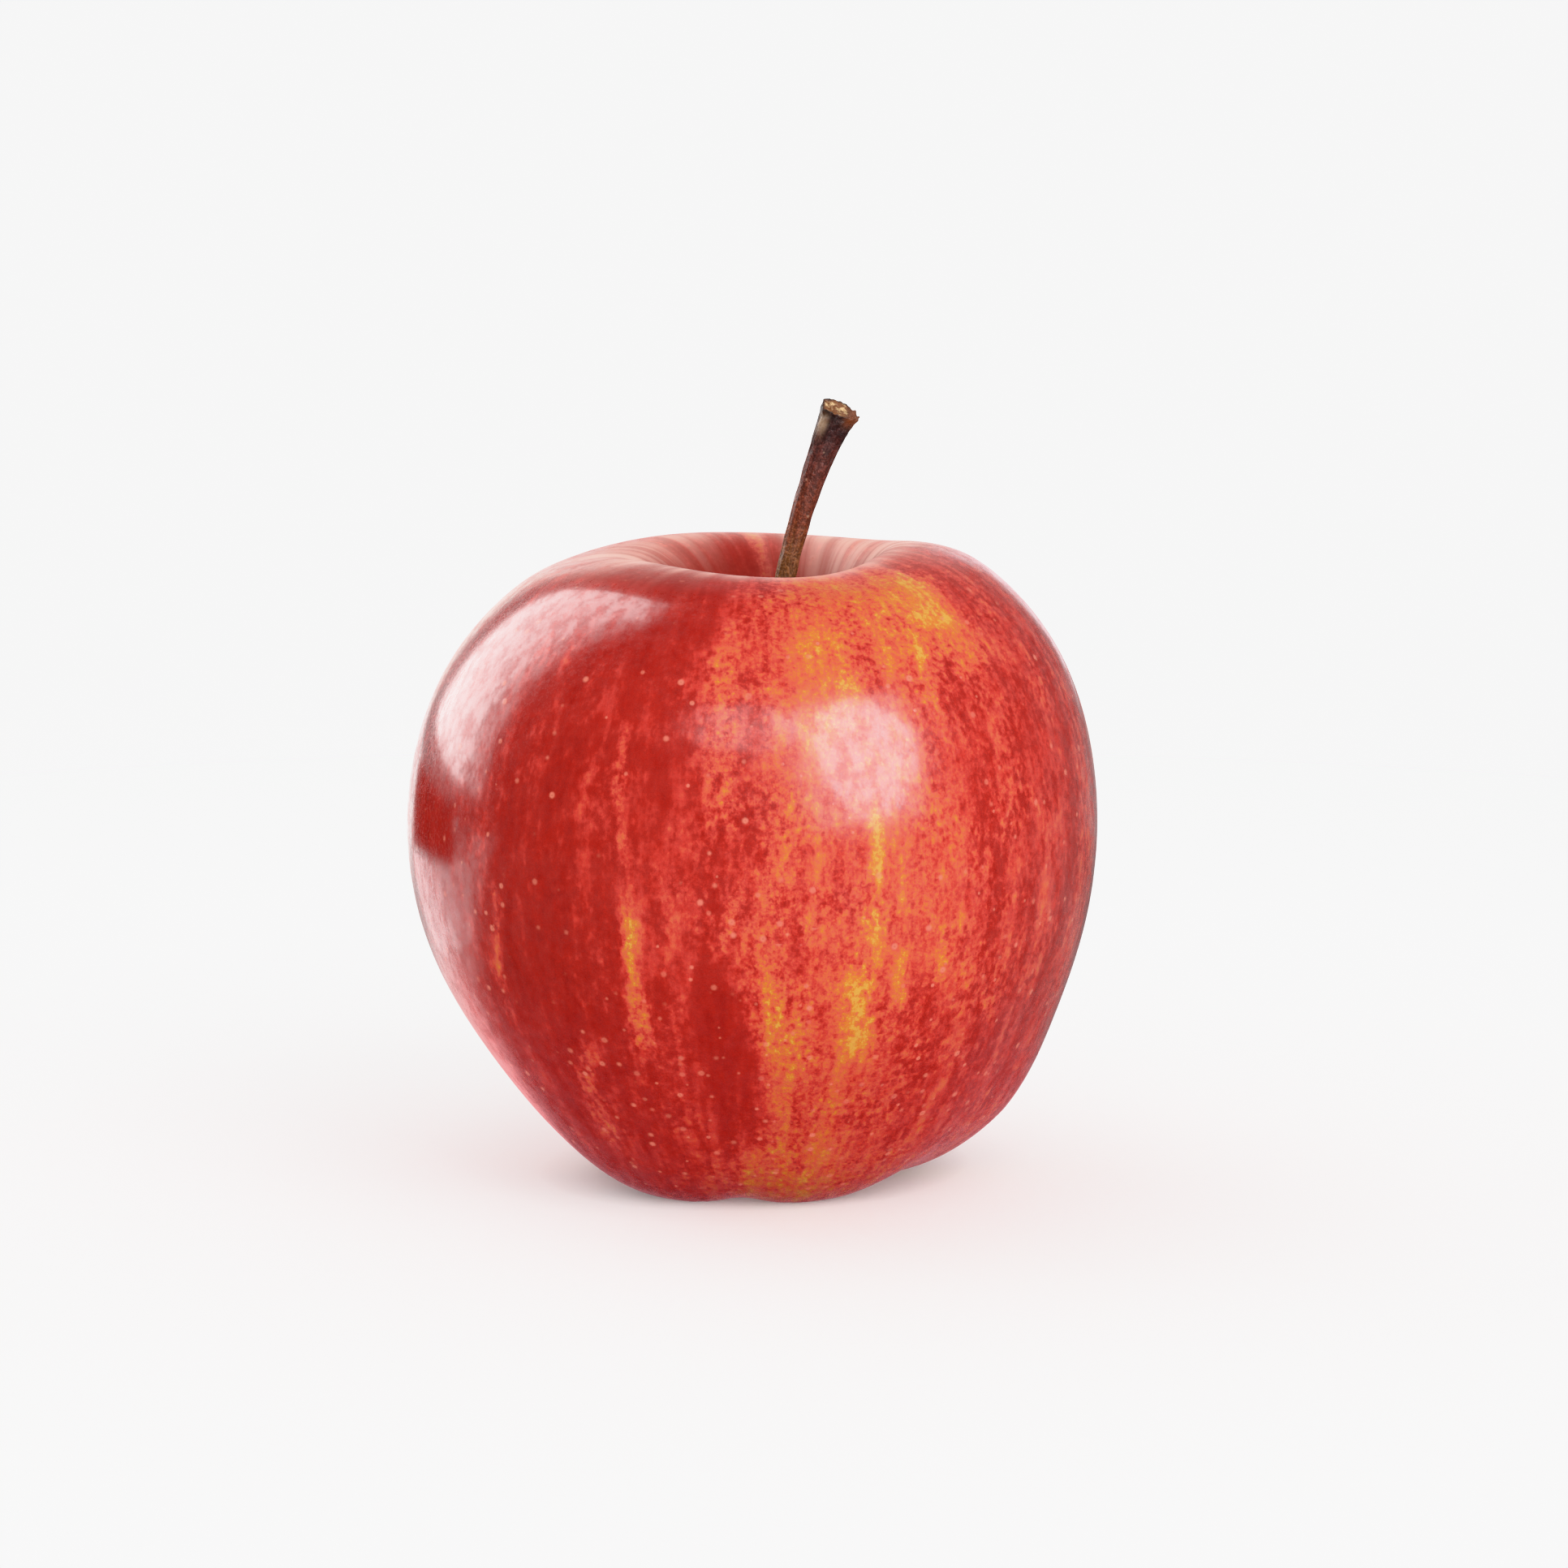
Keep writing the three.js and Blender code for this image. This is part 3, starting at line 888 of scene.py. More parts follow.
@dataclass
class Fruit:
    """Flesh and skin: a closed surface of azimuth and of place on an outline.

    The outline is a smooth curve near its poles, from the basin floor under the calyx out, up and
    into the pit. Five lobes swell its radius and lower its feet, waves lift its rim, and its right
    heel and core depart a little from an even shape.
    """

    outline: tuple[tuple[float, float], ...] = (
        (0.0, 9.2),
        (3.4, 9.0),
        (6.2, 6.4),
        (8.4, 1.6),
        (12.2, -0.8),
        (19.4, 1.6),
        (26.6, 9.6),
        (35.6, 22.6),
        (38.9, 34.2),
        (39.0, 46.8),
        (34.8, 60.0),
        (25.6, 69.2),
        (20.8, 70.6),
        (13.8, 71.8),
        (9.6, 66.2),
        (6.4, 60.0),
        (3.2, 54.6),
        (0.0, 54.0),
    )
    lobe_count: int = 5
    lobe_first: float = math.radians(-135)
    lobe_broadness: float = 0.22
    lobe_unevenness: float = 0.1
    uneven_from: float = math.radians(-40)
    belly_swell: float = 0.003
    foot_swell: float = 0.016
    foot_drop: float = 0.62
    low_end: tuple[float, float] = (0.0, 46.0)
    top_end: tuple[float, float] = (30.0, 70.0)
    foot_radius: float = 14.0
    rim_radius: float = 20.0
    rim_waves: tuple[tuple[int, float, float], ...] = (
        (1, 0.4, 13.0),
        (2, 0.4, 9.0),
        (3, 0.6, -11.0),
        (5, 0.1, -83.0),
    )
    raised_foot: tuple[float, float] = (0.85, math.radians(8))
    full_front: tuple[float, float, float] = (0.58, math.radians(-97), 12)
    full_heel: Bell = Bell(7.0, 12.0, 3.5)
    heel_radius: float = 25.0
    core_shift: tuple[float, float] = (0.3, 2.5)
    pit_radius: tuple[float, float] = (4.0, 20.0)
    pit_floor: float = 54.2
    basin_floor: float = 9.13
    rows: int = 260
    columns: int = 330

    mean_flush: float = 0.66
    ripe_side: Bell = Bell(-140.0, 42.0, 0.14)
    gold_side: Bell = Bell(-74.0, 27.0, -0.19)
    streak_bends: tuple[Ripple, Ripple] = (Ripple(16.0, 3, 0.02), Ripple(5.0, 4, 0.010))
    streak_shift: Ripple = Ripple(9.0, 5, 1.4)
    front: float = -82.0
    front_reach: tuple[float, float] = (62.0, 80.0)
    side_radius: float = 30.0
    side_upright: float = 0.16
    side_golds: tuple[Ripple, Ripple] = (Ripple(12.0, 6), Ripple(4.0, 7, 0.4))
    side_gold: Levels = (0.35, 1.2, 0.0, 0.30)
    side_reds: Ripple = Ripple(9.0, 8)
    side_red: Levels = (0.2, 1.0, 0.0, 0.12)
    basin_reach: tuple[float, float] = (14.0, 40.0)
    basin_gold: float = 0.42
    # A stronger red in the pit: partly its own colour, partly painted shade in the hollow.
    pit_red_and_shade: Bell = Bell(14.0, 8.0, 0.28)
    pit_gold: Bell = Bell(0.0, 4.0, -0.30)

    # Painted sheen on the lip, and pale streaks mixed with painted sheen on the left and right
    # slopes.
    lip_painted_sheen: Bell = Bell(24.5, 2.0, 0.5)
    left_scarf_and_sheen: Bell = Bell(24.5, 5.5, 1.0)
    right_scarf_and_sheen: Bell = Bell(23.0, 8.0, 0.9)
    right_scarf_and_sheen_at: float = 0.35
    # Painted shade: darkest in the pit and near the foot, and light on the low belly.
    pit_painted_shade: Levels = (16.0, 25.0, 1.0, 0.0)
    foot_painted_shade: Levels = (0.0, 7.0, 0.42, 0.0)
    belly_painted_shade: Levels = (6.0, 34.0, 0.2, 0.0)
    wax_reach: tuple[float, float] = (19.0, 39.0)
    pore_reach: Levels = (10.0, 45.0, 1.0, 0.0)

    def core(self, distance: Array, height: Array) -> Array:
        """How far the core stands to the right: most in the pit, and not at all in the low half.

        Args:
            distance: distance of each place from the core.
            height: height of each place.

        Returns:
            How far it stands there, in millimetres.
        """
        everywhere, more_in_pit = self.core_shift
        in_pit = 1 - smoothstep(distance, *self.pit_radius)
        return smoothstep(height, *self.top_end) * (everywhere + more_in_pit * in_pit)

    def core_at(self, height: float) -> float:
        """How far the core itself stands to the right at a height."""
        return float(self.core(np.array(0.0), np.array(height)))

    def even_places(self) -> tuple[Array, Array]:
        """Places on the outline that are evenly far apart, one for each row.

        Returns:
            The places, from 0 to 1, and how far along the outline each is, in millimetres.
        """
        fine = np.linspace(0.0, 1.0, 4000)
        steps = np.linalg.norm(np.diff(cubic_spline(np.array(self.outline), fine), axis=0), axis=1)
        run = np.concatenate([[0.0], np.cumsum(steps)])
        reach = np.linspace(0.0, run[-1], self.rows)
        return np.interp(reach, run, fine), reach

    def surface(self, azimuth: Array, along: Array) -> Array:
        """Points of the skin.

        The radius is the outline's distance times one plus the lobes. The height is the outline's
        plus the rim's waves, less the lobes' drop round the feet, and never under the ground.

        Args:
            azimuth: azimuths of the columns, in radians.
            along: places of the rows on the outline, 0 in the basin and 1 in the pit.

        Returns:
            (rows, columns, 3) points in millimetres.
        """
        distance, height = np.split(cubic_spline(np.array(self.outline), along), 2, axis=1)
        low = 1 - smoothstep(height, *self.low_end)
        top = smoothstep(height, *self.top_end)
        ringed = (distance / self.foot_radius) ** 2
        foot = low * (ringed * np.exp(1 - ringed)) ** 2

        uneven = self.lobe_unevenness * np.sin(azimuth - self.uneven_from)
        phase = self.lobe_count * (azimuth - self.lobe_first + uneven)
        lobe = np.cos(phase) - self.lobe_broadness * np.cos(2 * phase)
        radius = distance * (1 + (self.belly_swell + self.foot_swell * low) * lobe)

        wave = sum(
            height_of * np.cos(count * (azimuth - math.radians(crest)))
            for count, height_of, crest in self.rim_waves
        )
        lift, lift_at = self.raised_foot
        raised = lift * np.maximum(np.cos(azimuth - lift_at), 0) ** 3
        fill, fill_at, narrowness = self.full_front
        filled = fill * np.maximum(np.cos(azimuth - fill_at), 0) ** narrowness
        rise = top * np.minimum(distance / self.rim_radius, 1) * wave
        rise = rise - foot * (self.foot_drop * lobe + filled - raised)

        outer = np.minimum(distance / self.heel_radius, 1)
        heel = self.full_heel.at(height) * np.maximum(np.cos(azimuth), 0) ** 2 * outer
        x = radius * np.cos(azimuth) + self.core(distance, height) + heel
        return np.stack([x, radius * np.sin(azimuth), np.maximum(height + rise, 0)], axis=-1)

    def flush(self, azimuth: Array, points: Array, reach: Array) -> Array:
        """How red the skin is on average, from 0 for gold to 1 for crimson.

        The left is the ripest side. The listed streaks thin or deepen it, their course bent a
        little by ripples, and the pit and the calyx basin have golden sectors.

        Args:
            azimuth: azimuths of the columns, in radians.
            points: (rows, columns, 3) points of the skin.
            reach: distance of each row along the outline.

        Returns:
            (rows, columns) values.
        """
        height = points[..., 2]
        radius = np.maximum(np.hypot(points[..., 0], points[..., 1]), 1.0)
        side = self.mean_flush + self.ripe_side.around(azimuth) + self.gold_side.around(azimuth)
        ripe = np.broadcast_to(side, height.shape).copy()
        bent = azimuth + sum(bend.at(points) for bend in self.streak_bends)
        raised = height + self.streak_shift.at(points)
        for streak in STREAKS:
            ripe -= streak.gold * streak.share(bent, raised, radius)

        out = self.side_radius
        flank = stacked(out * np.cos(azimuth), out * np.sin(azimuth), height * self.side_upright)
        away = smoothstep(np.abs(beside(azimuth, self.front)), *self.front_reach)
        golds = sum(gold.at(flank) for gold in self.side_golds)
        ripe -= away * levels(golds, *self.side_gold)
        ripe += away * levels(self.side_reds.at(flank), *self.side_red)

        round_basin = 1 - smoothstep(reach[:, None], *self.basin_reach)
        sectors = 0.5 + 0.5 * np.cos(3 * azimuth + 0.7) * np.cos(azimuth - 0.5)
        ripe -= self.basin_gold * round_basin * smoothstep(height, -1, 1) * sectors
        from_pit = reach[-1] - reach[:, None]
        # The pit is made redder and darker, partly as painted shade in the hollow.
        return ripe + self.pit_red_and_shade.at(from_pit) + self.pit_gold.at(from_pit)

    def build(self) -> Piece:
        """The fruit's mesh with the attributes that its finish reads.

        Returns:
            The piece.
        """
        azimuth = np.arange(self.columns) * TURN / self.columns + math.pi / 2
        along, reach = self.even_places()
        points = self.surface(azimuth, along)
        height = points[..., 2]
        belly = max(distance for distance, _ in self.outline)
        from_pit = reach[-1] - reach[:, None]
        # The rim's pale streaks: painted sheen on the lip, and pale skin with painted sheen on the
        # slopes.
        left = np.maximum(-np.cos(azimuth), 0) ** 2
        right = np.maximum(np.cos(azimuth - self.right_scarf_and_sheen_at), 0) ** 2
        scarf_and_sheen_share = self.lip_painted_sheen.at(from_pit) + self.left_scarf_and_sheen.at(from_pit) * left
        scarf_and_sheen_share = scarf_and_sheen_share + self.right_scarf_and_sheen.at(from_pit) * right
        # Painted shade in the pit, near the foot and on the low belly.
        low = levels(height, *self.foot_painted_shade) + levels(height, *self.belly_painted_shade)
        shade = np.maximum(levels(from_pit, *self.pit_painted_shade), low)
        waxed = smoothstep(from_pit, *self.wax_reach)
        flow = stacked(belly * np.cos(azimuth), belly * np.sin(azimuth), reach[:, None])
        fields = {
            "skin_flow": flow * MM,
            "flush": self.flush(azimuth, points, reach),
            "low_end": levels(height, *self.pore_reach),
            "rim": np.clip(scarf_and_sheen_share, 0, 1),
            "painted_shade_share": shade,
            "waxed": np.broadcast_to(waxed, height.shape).copy(),
        }
        return closed_tube("apple_skin", points, fields, mapped=True)

    def dress(self) -> None:
        """Builds the fruit in its waxy skin."""
        dress_piece(self.build(), "fruit", SkinFinish().build())


# ------------------------------------------------------------------ stalk, calyx and stamens


@dataclass
class Shoot:
    """A closed shoot along a cubic curve in a plane through the core.

    A point of it is the curve's point, plus its section's size across the plane and in it, plus
    its lift on along the curve. Both ends close to a point at their middle.
    """

    poles: tuple[tuple[float, float], ...]
    sides: int
    rows: int
    caps: int = 1

    def grid(self) -> tuple[Array, Array, Array]:
        """The columns round the shoot and the rows along it, with those of its two end caps.

        Returns:
            The angle of each column, and each row's place along the curve and its reach, which is
            1 at the surface and falls to 0 at the middle of an end.
        """
        angle = np.arange(self.sides) * TURN / self.sides
        inner = np.linspace(0, 1, self.caps + 1)
        ends = np.zeros(self.caps), np.ones(self.caps)
        along = np.concatenate([ends[0], np.linspace(0, 1, self.rows), ends[1]])
        reach = np.concatenate([inner[:-1], np.ones(self.rows), inner[:-1][::-1]])
        return angle[None, :], along, reach[:, None]

    def points(self, across: Array, within: Array, lift: Array) -> Array:
        """Points of the shoot.

        Args:
            across: how far each point is from the curve across its plane, with the reach in it.
            within: how far it is from the curve in the plane, with the reach in it.
            lift: how far it is moved on along the curve.

        Returns:
            (rows, columns, 3) points in millimetres.
        """
        _, along, _ = self.grid()
        middle, ahead = bezier(np.array(self.poles), along)
        x = middle[:, :1] + ahead[:, 1:] * within + ahead[:, :1] * lift
        z = middle[:, 1:] - ahead[:, :1] * within + ahead[:, 1:] * lift
        return stacked(x, across, z)


def turned(points: Array, azimuth: float) -> Array:
    """Points turned about the core by an azimuth in radians."""
    c, s = math.cos(azimuth), math.sin(azimuth)
    return points @ np.array([[c, s, 0], [-s, c, 0], [0, 0, 1]])


@dataclass
class Stalk:
    """The woody stalk: a bent shank, flattened and flared at its torn and cupped head."""

    seat: float = 52.0
    poles: tuple[tuple[float, float], ...] = ((0, 0), (0, 10), (3.6, 26.0), (8.3, 35.2))
    shank: float = 1.15
    head: float = 2.25
    flare: float = 6.0
    flatness: float = 0.8
    tear: float = 0.95
    drop: float = 0.3
    cup: float = 0.3
    sides: int = 96
    rows: int = 200
    caps: int = 14

    ridges: Ripple = Ripple(1.2, 11, 0.045)
    knots: Ripple = Ripple(1.5, 12, 0.03)
    warts: Ripple = Ripple(1.3, 13, 0.05)
    jags: Ripple = Ripple(1.1, 14, 0.16)
    # Where the painted highlight on the head lies, and how wide and tall it is.
    painted_highlight_at: tuple[float, float] = (math.radians(143), 0.935)
    painted_highlight_size: tuple[float, float] = (0.12, 0.035)

    def marks(self, angle: Array, up: Array, reach: Array) -> dict[str, Array]:
        """Where the head is torn or lobed or has a painted highlight, and how far up each place is.

        Args:
            angle: angle of each column.
            up: place of each row along the stalk, from 0 to 1.
            reach: reach of each row from the middle.

        Returns:
            The values of each mark, by the name of its attribute.
        """
        right = reach * np.cos(angle)
        turn, highlight_up = self.painted_highlight_at
        wide, tall = self.painted_highlight_size
        # A painted highlight: a pale patch on the left of the head.
        painted_highlight = hump(np.cos(angle + turn), 1, wide) * hump(up, highlight_up, tall)
        torn = (1 - smoothstep(reach, 0.82, 1.0)) * (1 - smoothstep(right, 0.2, 0.5))
        return {
            "along": up,
            "torn": torn * (up > 0.999),
            "lobe": 0.8 * smoothstep(right, 0.1, 0.6) * smoothstep(up, 0.93, 0.99),
            "painted_highlight": 0.8 * painted_highlight,
        }

    def build(self, core: float) -> Piece:
        """The stalk's mesh. Ridges run up the bark, small knots swell it, and the end is ragged.

        The radius grows from the shank's to the head's with a power of the height, times one plus
        the ripples. The torn end slants to the front, droops on the left and is cupped.

        Args:
            core: how far the core stands to the right at the stalk's seat.

        Returns:
            The piece.
        """
        shoot = Shoot(self.poles, self.sides, self.rows, caps=self.caps)
        angle, along, reach = shoot.grid()
        up = along[:, None]
        flare = up**self.flare
        radius = self.shank + (self.head - self.shank) * flare
        narrow = 1 - (1 - self.flatness) * flare
        around = stacked(np.cos(angle), np.sin(angle), up * 9)
        ridges = self.ridges.at(around * (3.2, 3.2, 0.5)) + self.knots.at(around * (1, 1, 3.0))
        rough = (1 + ridges + flare * self.warts.at(around * (4, 4, 3))) * reach
        across = radius * narrow * np.sin(angle) * rough
        within = radius * np.cos(angle) * rough
        right = reach * np.cos(angle)
        slant = self.tear * reach * np.sin(angle) * (0.62 - 0.3 * right)
        slant = slant - self.drop * ((1 - right) / 2) ** 2
        jagged = self.jags.at(around * (3, 3, 0) * reach[..., None])
        lift = up ** (4 * self.flare) * (slant + jagged - self.cup * (1 - reach**2))
        points = shoot.points(across, within, lift) + (core, 0, self.seat)
        fields = {
            name: np.broadcast_to(mark, points.shape[:2]).copy()
            for name, mark in self.marks(angle, up, reach).items()
        }
        fields["flow"] = around * (1.2 * MM, 1.2 * MM, 4 * MM)
        return closed_tube("stalk_bark", points, fields)

    def dress(self, core: float) -> None:
        """Builds the stalk in its bark, where the core stands at its seat."""
        dress_piece(self.build(core), "stem", BarkFinish().build())


@dataclass(frozen=True)
class Sepal:
    """Place and form of one of the five sepals."""

    azimuth: float
    length: float
    curl: float


@dataclass
class Calyx:
    """The dried calyx: a ring in the basin floor and five withered sepals that hang from it."""

    seat: float = 10.2
    ring: tuple[float, float, float] = (2.4, 3.6, 1.5)
    ring_sides: tuple[int, int] = (24, 96)
    width: float = 3.9
    thickness: float = 0.8
    channel: float = 0.7
    crumples: tuple[tuple[float, int, float], ...] = ((2.2, 20, 0.22), (0.9, 30, 0.10))
    lumps: tuple[float, int, float] = (1.0, 40, 0.1)
    sepals: tuple[Sepal, ...] = (
        Sepal(-124, 1.0, 1.0),
        Sepal(-52, 0.9, 0.4),
        Sepal(18, 1.05, 0.9),
        Sepal(92, 0.85, 0.1),
        Sepal(164, 1.0, 0.7),
    )
    sides: int = 48
    rows: int = 70
    finish: DriedFinish = DriedFinish(
        "sepal", (0.085, 0.062, 0.032), (0.30, 0.26, 0.17), (0.22, 0.17, 0.09)
    )

    def sepal(self, number: int, sepal: Sepal) -> Piece:
        """One sepal: it narrows to a point, curls outward, and is channelled and crumpled.

        Its section is a squared ellipse that narrows with a power of the height, bowed by a
        parabola across it and moved by ripples.

        Args:
            number: the sepal's number, which its ripples' seeds are counted on by.
            sepal: its place and form.

        Returns:
            The piece, with the calyx's seat at height 0.
        """
        length, curl = sepal.length, sepal.curl
        poles = (
            (3.0, -0.7),
            (2.7, -3.4 * length),
            (2.4 + 1.6 * curl, -6.2 * length),
            (3.4 + 2.4 * curl, -7.4 * length + 1.6 * curl),
        )
        shoot = Shoot(poles, self.sides, self.rows, caps=3)
        angle, along, reach = shoot.grid()
        up = along[:, None]
        half = 0.5 * self.width * (1 - 0.82 * up**1.6)
        across = half * squared(np.cos(angle), 0.7)
        within = 0.5 * self.thickness * squared(np.sin(angle), 0.6)
        bow = self.channel * (0.5 - (across / half) ** 2) * (half / (0.5 * self.width))
        sheet = stacked(across, 0 * up, up * 7 * length)
        crumple = sum(
            Ripple(wavelength, seed + number, depth).at(sheet)
            for wavelength, seed, depth in self.crumples
        )
        wavelength, seed, depth = self.lumps
        within = within * (0.8 + Ripple(wavelength, seed + number, depth).at(sheet))
        bent = bow - within + crumple * smoothstep(up, 0, 0.3)
        points = shoot.points(reach * across, reach * bent, 0 * up)
        fields = {
            "along": np.broadcast_to(up, points.shape[:2]).copy(),
            "flow": np.broadcast_to(sheet * MM, points.shape).copy(),
        }
        return closed_tube(f"sepal_{number}", turned(points, math.radians(sepal.azimuth)), fields)

    def base(self) -> Piece:
        """The ring: a rounded band whose section is a squared ellipse carried round the core.

        Returns:
            The piece, with the calyx's seat at height 0.
        """
        inner, outer, depth = self.ring
        rows, columns = self.ring_sides
        angle = np.arange(columns) * TURN / columns
        section = (np.arange(rows) * TURN / rows)[:, None]
        across = (inner + outer) / 2 + (outer - inner) / 2 * squared(np.cos(section), 0.5)
        height = -depth / 2 + depth / 2 * squared(np.sin(section), 0.5)
        points = stacked(across * np.cos(angle), across * np.sin(angle), height).reshape(-1, 3)
        r, c = np.meshgrid(np.arange(rows), np.arange(columns), indexing="ij")
        row, next_row, next_c = r * columns, (r + 1) % rows * columns, (c + 1) % columns
        quads = np.stack([row + c, row + next_c, next_row + next_c, next_row + c], axis=-1)
        mesh = bpy.data.meshes.new("calyx_ring")
        mesh.from_pydata(points * MM, [], quads.reshape(-1, 4).tolist())
        add_fields(mesh, {"along": np.zeros(len(points)), "flow": points * MM})
        mesh.shade_smooth()
        return linked("calyx_ring", mesh)

    def build(self, core: float) -> Piece:
        """The ring and its sepals in one piece.

        Args:
            core: how far the core stands to the right at the basin's floor.

        Returns:
            The piece, at its seat.
        """
        parts = [self.base()] + [self.sepal(i, sepal) for i, sepal in enumerate(self.sepals)]
        piece = joined("calyx_sepals", parts)
        piece.data.transform(Matrix.Translation((core * MM, 0, self.seat * MM)))
        return piece

    def dress(self, core: float) -> None:
        """Builds the calyx as dried leaf, where the core stands at the basin's floor."""
        dress_piece(self.build(core), "calyx", self.finish.build())


@dataclass
class Stamens:
    """The tuft of withered stamens inside the calyx ring, on its small round bed."""

    seat: float = 10.2
    count: int = 11
    bed_radius: float = 1.9
    bed_depth: float = 1.0
    inner_ring: float = 0.5
    outer_ring: float = 1.45
    length: float = 4.2
    thickness: float = 0.34
    anther: float = 0.3
    golden_angle: float = math.radians(137.5)
    first_seed: int = 60
    finish: DriedFinish = DriedFinish(
        "stamen", (0.035, 0.022, 0.012), (0.11, 0.07, 0.035), (0.20, 0.13, 0.06)
    )

    def stamen(self, index: int) -> Piece:
        """One filament with its anther, which leans further out the later its number is.

        Its radius grows into the anther's near the end, and is rounded off at both ends and
        uneven with ripples.

        Args:
            index: the stamen's number, from 0 for the one in the middle.

        Returns:
            The piece, with the stamens' seat at height 0.
        """
        share = math.sqrt(index / (self.count - 1))
        start, spread = self.inner_ring * share, self.outer_ring * share
        length = self.length * (0.85 + 0.15 * math.cos(3 * index))
        poles = ((start, -0.4), (start, -0.5 * length), (spread, -0.6 * length), (spread, -length))
        shoot = Shoot(poles, 16, 40, caps=3)
        angle, along, reach = shoot.grid()
        up = along[:, None]
        round_off = np.sqrt(reach * (2 - reach))
        radius = self.thickness * 0.85 + self.anther * smoothstep(up, 0.7, 0.9)
        around = stacked(np.cos(angle), np.sin(angle), up * 6)
        lumps = Ripple(1.6, self.first_seed + index, 0.16)
        rough = radius * (1 + lumps.at(around)) * round_off
        points = shoot.points(rough * np.sin(angle), rough * np.cos(angle), 0 * up)
        fields = {
            "along": np.broadcast_to(up, points.shape[:2]).copy(),
            "flow": around * (0.4 * MM, 0.4 * MM, 0.7 * MM),
        }
        return closed_tube(f"stamen_{index}", turned(points, index * self.golden_angle), fields)

    def bed(self) -> Piece:
        """The bed: a low cushion that the filaments grow from, narrower below and five-sided.

        Returns:
            The piece, with the stamens' seat at height 0.
        """
        shoot = Shoot(((0, 0), (0, -0.3), (0, -0.7), (0, -self.bed_depth)), 40, 12, caps=6)
        angle, along, reach = shoot.grid()
        up = along[:, None]
        five_sided = 1 - 0.04 * (np.cos(5 * angle) + 1)
        radius = self.bed_radius * reach * (1 - 0.25 * up**3) * five_sided
        dome = -0.25 * up**8 * (1 - reach**2)
        points = shoot.points(radius * np.sin(angle), radius * np.cos(angle), -dome)
        return closed_tube("stamen_bed", points, {"along": 0 * radius, "flow": points * MM})

    def build(self, core: float) -> Piece:
        """The bed and its stamens in one piece.

        Args:
            core: how far the core stands to the right at the basin's floor.

        Returns:
            The piece, at its seat.
        """
        parts = [self.bed()] + [self.stamen(i) for i in range(self.count)]
        piece = joined("withered_stamens", parts)
        piece.data.transform(Matrix.Translation((core * MM, 0, self.seat * MM)))
        return piece

    def dress(self, core: float) -> None:
        """Builds the stamens as dried filaments, where the core stands at the basin's floor."""
        dress_piece(self.build(core), "stamens", self.finish.build())


# ------------------------------------------------------------------ the studio


@dataclass(frozen=True)
class Softbox:
    """An even light, rectangular or round, that faces the apple from an azimuth and a height."""

    name: str
    azimuth: float
    elevation: float
    distance: float
    size: tuple[float, float]
    power: float
    upright: bool = False
    diffuse: bool = True
    gloss: bool = True
    round: bool = False

    def build(self, target: Vector) -> None:
        """Adds the light, turned towards the target. Azimuth 0 is -Y and 90 is +X.

        An upright one stands at its distance like a window, with its middle at its elevation.

        Args:
            target: the point that it faces.
        """
        a, e = math.radians(self.azimuth), math.radians(self.elevation)
        level = Vector((math.sin(a), -math.cos(a), 0.0))
        heading = level * math.cos(e) + Vector((0.0, 0.0, math.sin(e)))
        data = bpy.data.lights.new(self.name, "AREA")
        data.shape = "ELLIPSE" if self.round else "RECTANGLE"
        data.size, data.size_y = self.size
        data.energy = self.power
        light = linked(self.name, data)
        light.location = target + heading * self.distance / (math.cos(e) if self.upright else 1)
        facing = level if self.upright else heading
        light.rotation_euler = facing.to_track_quat("Z", "Y").to_euler()
        light.visible_diffuse, light.visible_glossy = self.diffuse, self.gloss


@dataclass(frozen=True)
class Card:
    """A small upright card beside the apple, dark or glowing, that only reflections see."""

    name: str
    azimuth: float
    distance: float
    width: float
    heights: tuple[float, float]
    colour: Colour
    glow: float = 0.0
    panels: int = 12

    def build(self) -> None:
        """Adds the card, upright between its two heights and bent round the apple."""
        posts = self.panels + 1
        share = np.linspace(-0.5, 0.5, posts)
        across = np.radians(self.azimuth) + share * self.width / self.distance
        ring = stacked(np.sin(across), -np.cos(across), 0 * across) * self.distance
        points = np.concatenate([ring + (0, 0, height) for height in self.heights])
        mesh = bpy.data.meshes.new(self.name)
        faces = [(i, i + 1, i + 1 + posts, i + posts) for i in range(self.panels)]
        mesh.from_pydata(points, [], faces)
        card = linked(self.name, mesh)
        material, _, shader = new_material(self.name)
        shader.inputs["Base Color"].default_value = (*self.colour, 1)
        shader.inputs["Roughness"].default_value = 0.8
        shader.inputs["Emission Color"].default_value = (*self.colour, 1)
        shader.inputs["Emission Strength"].default_value = self.glow
        mesh.materials.append(material)
        card.visible_camera = card.visible_diffuse = card.visible_shadow = False


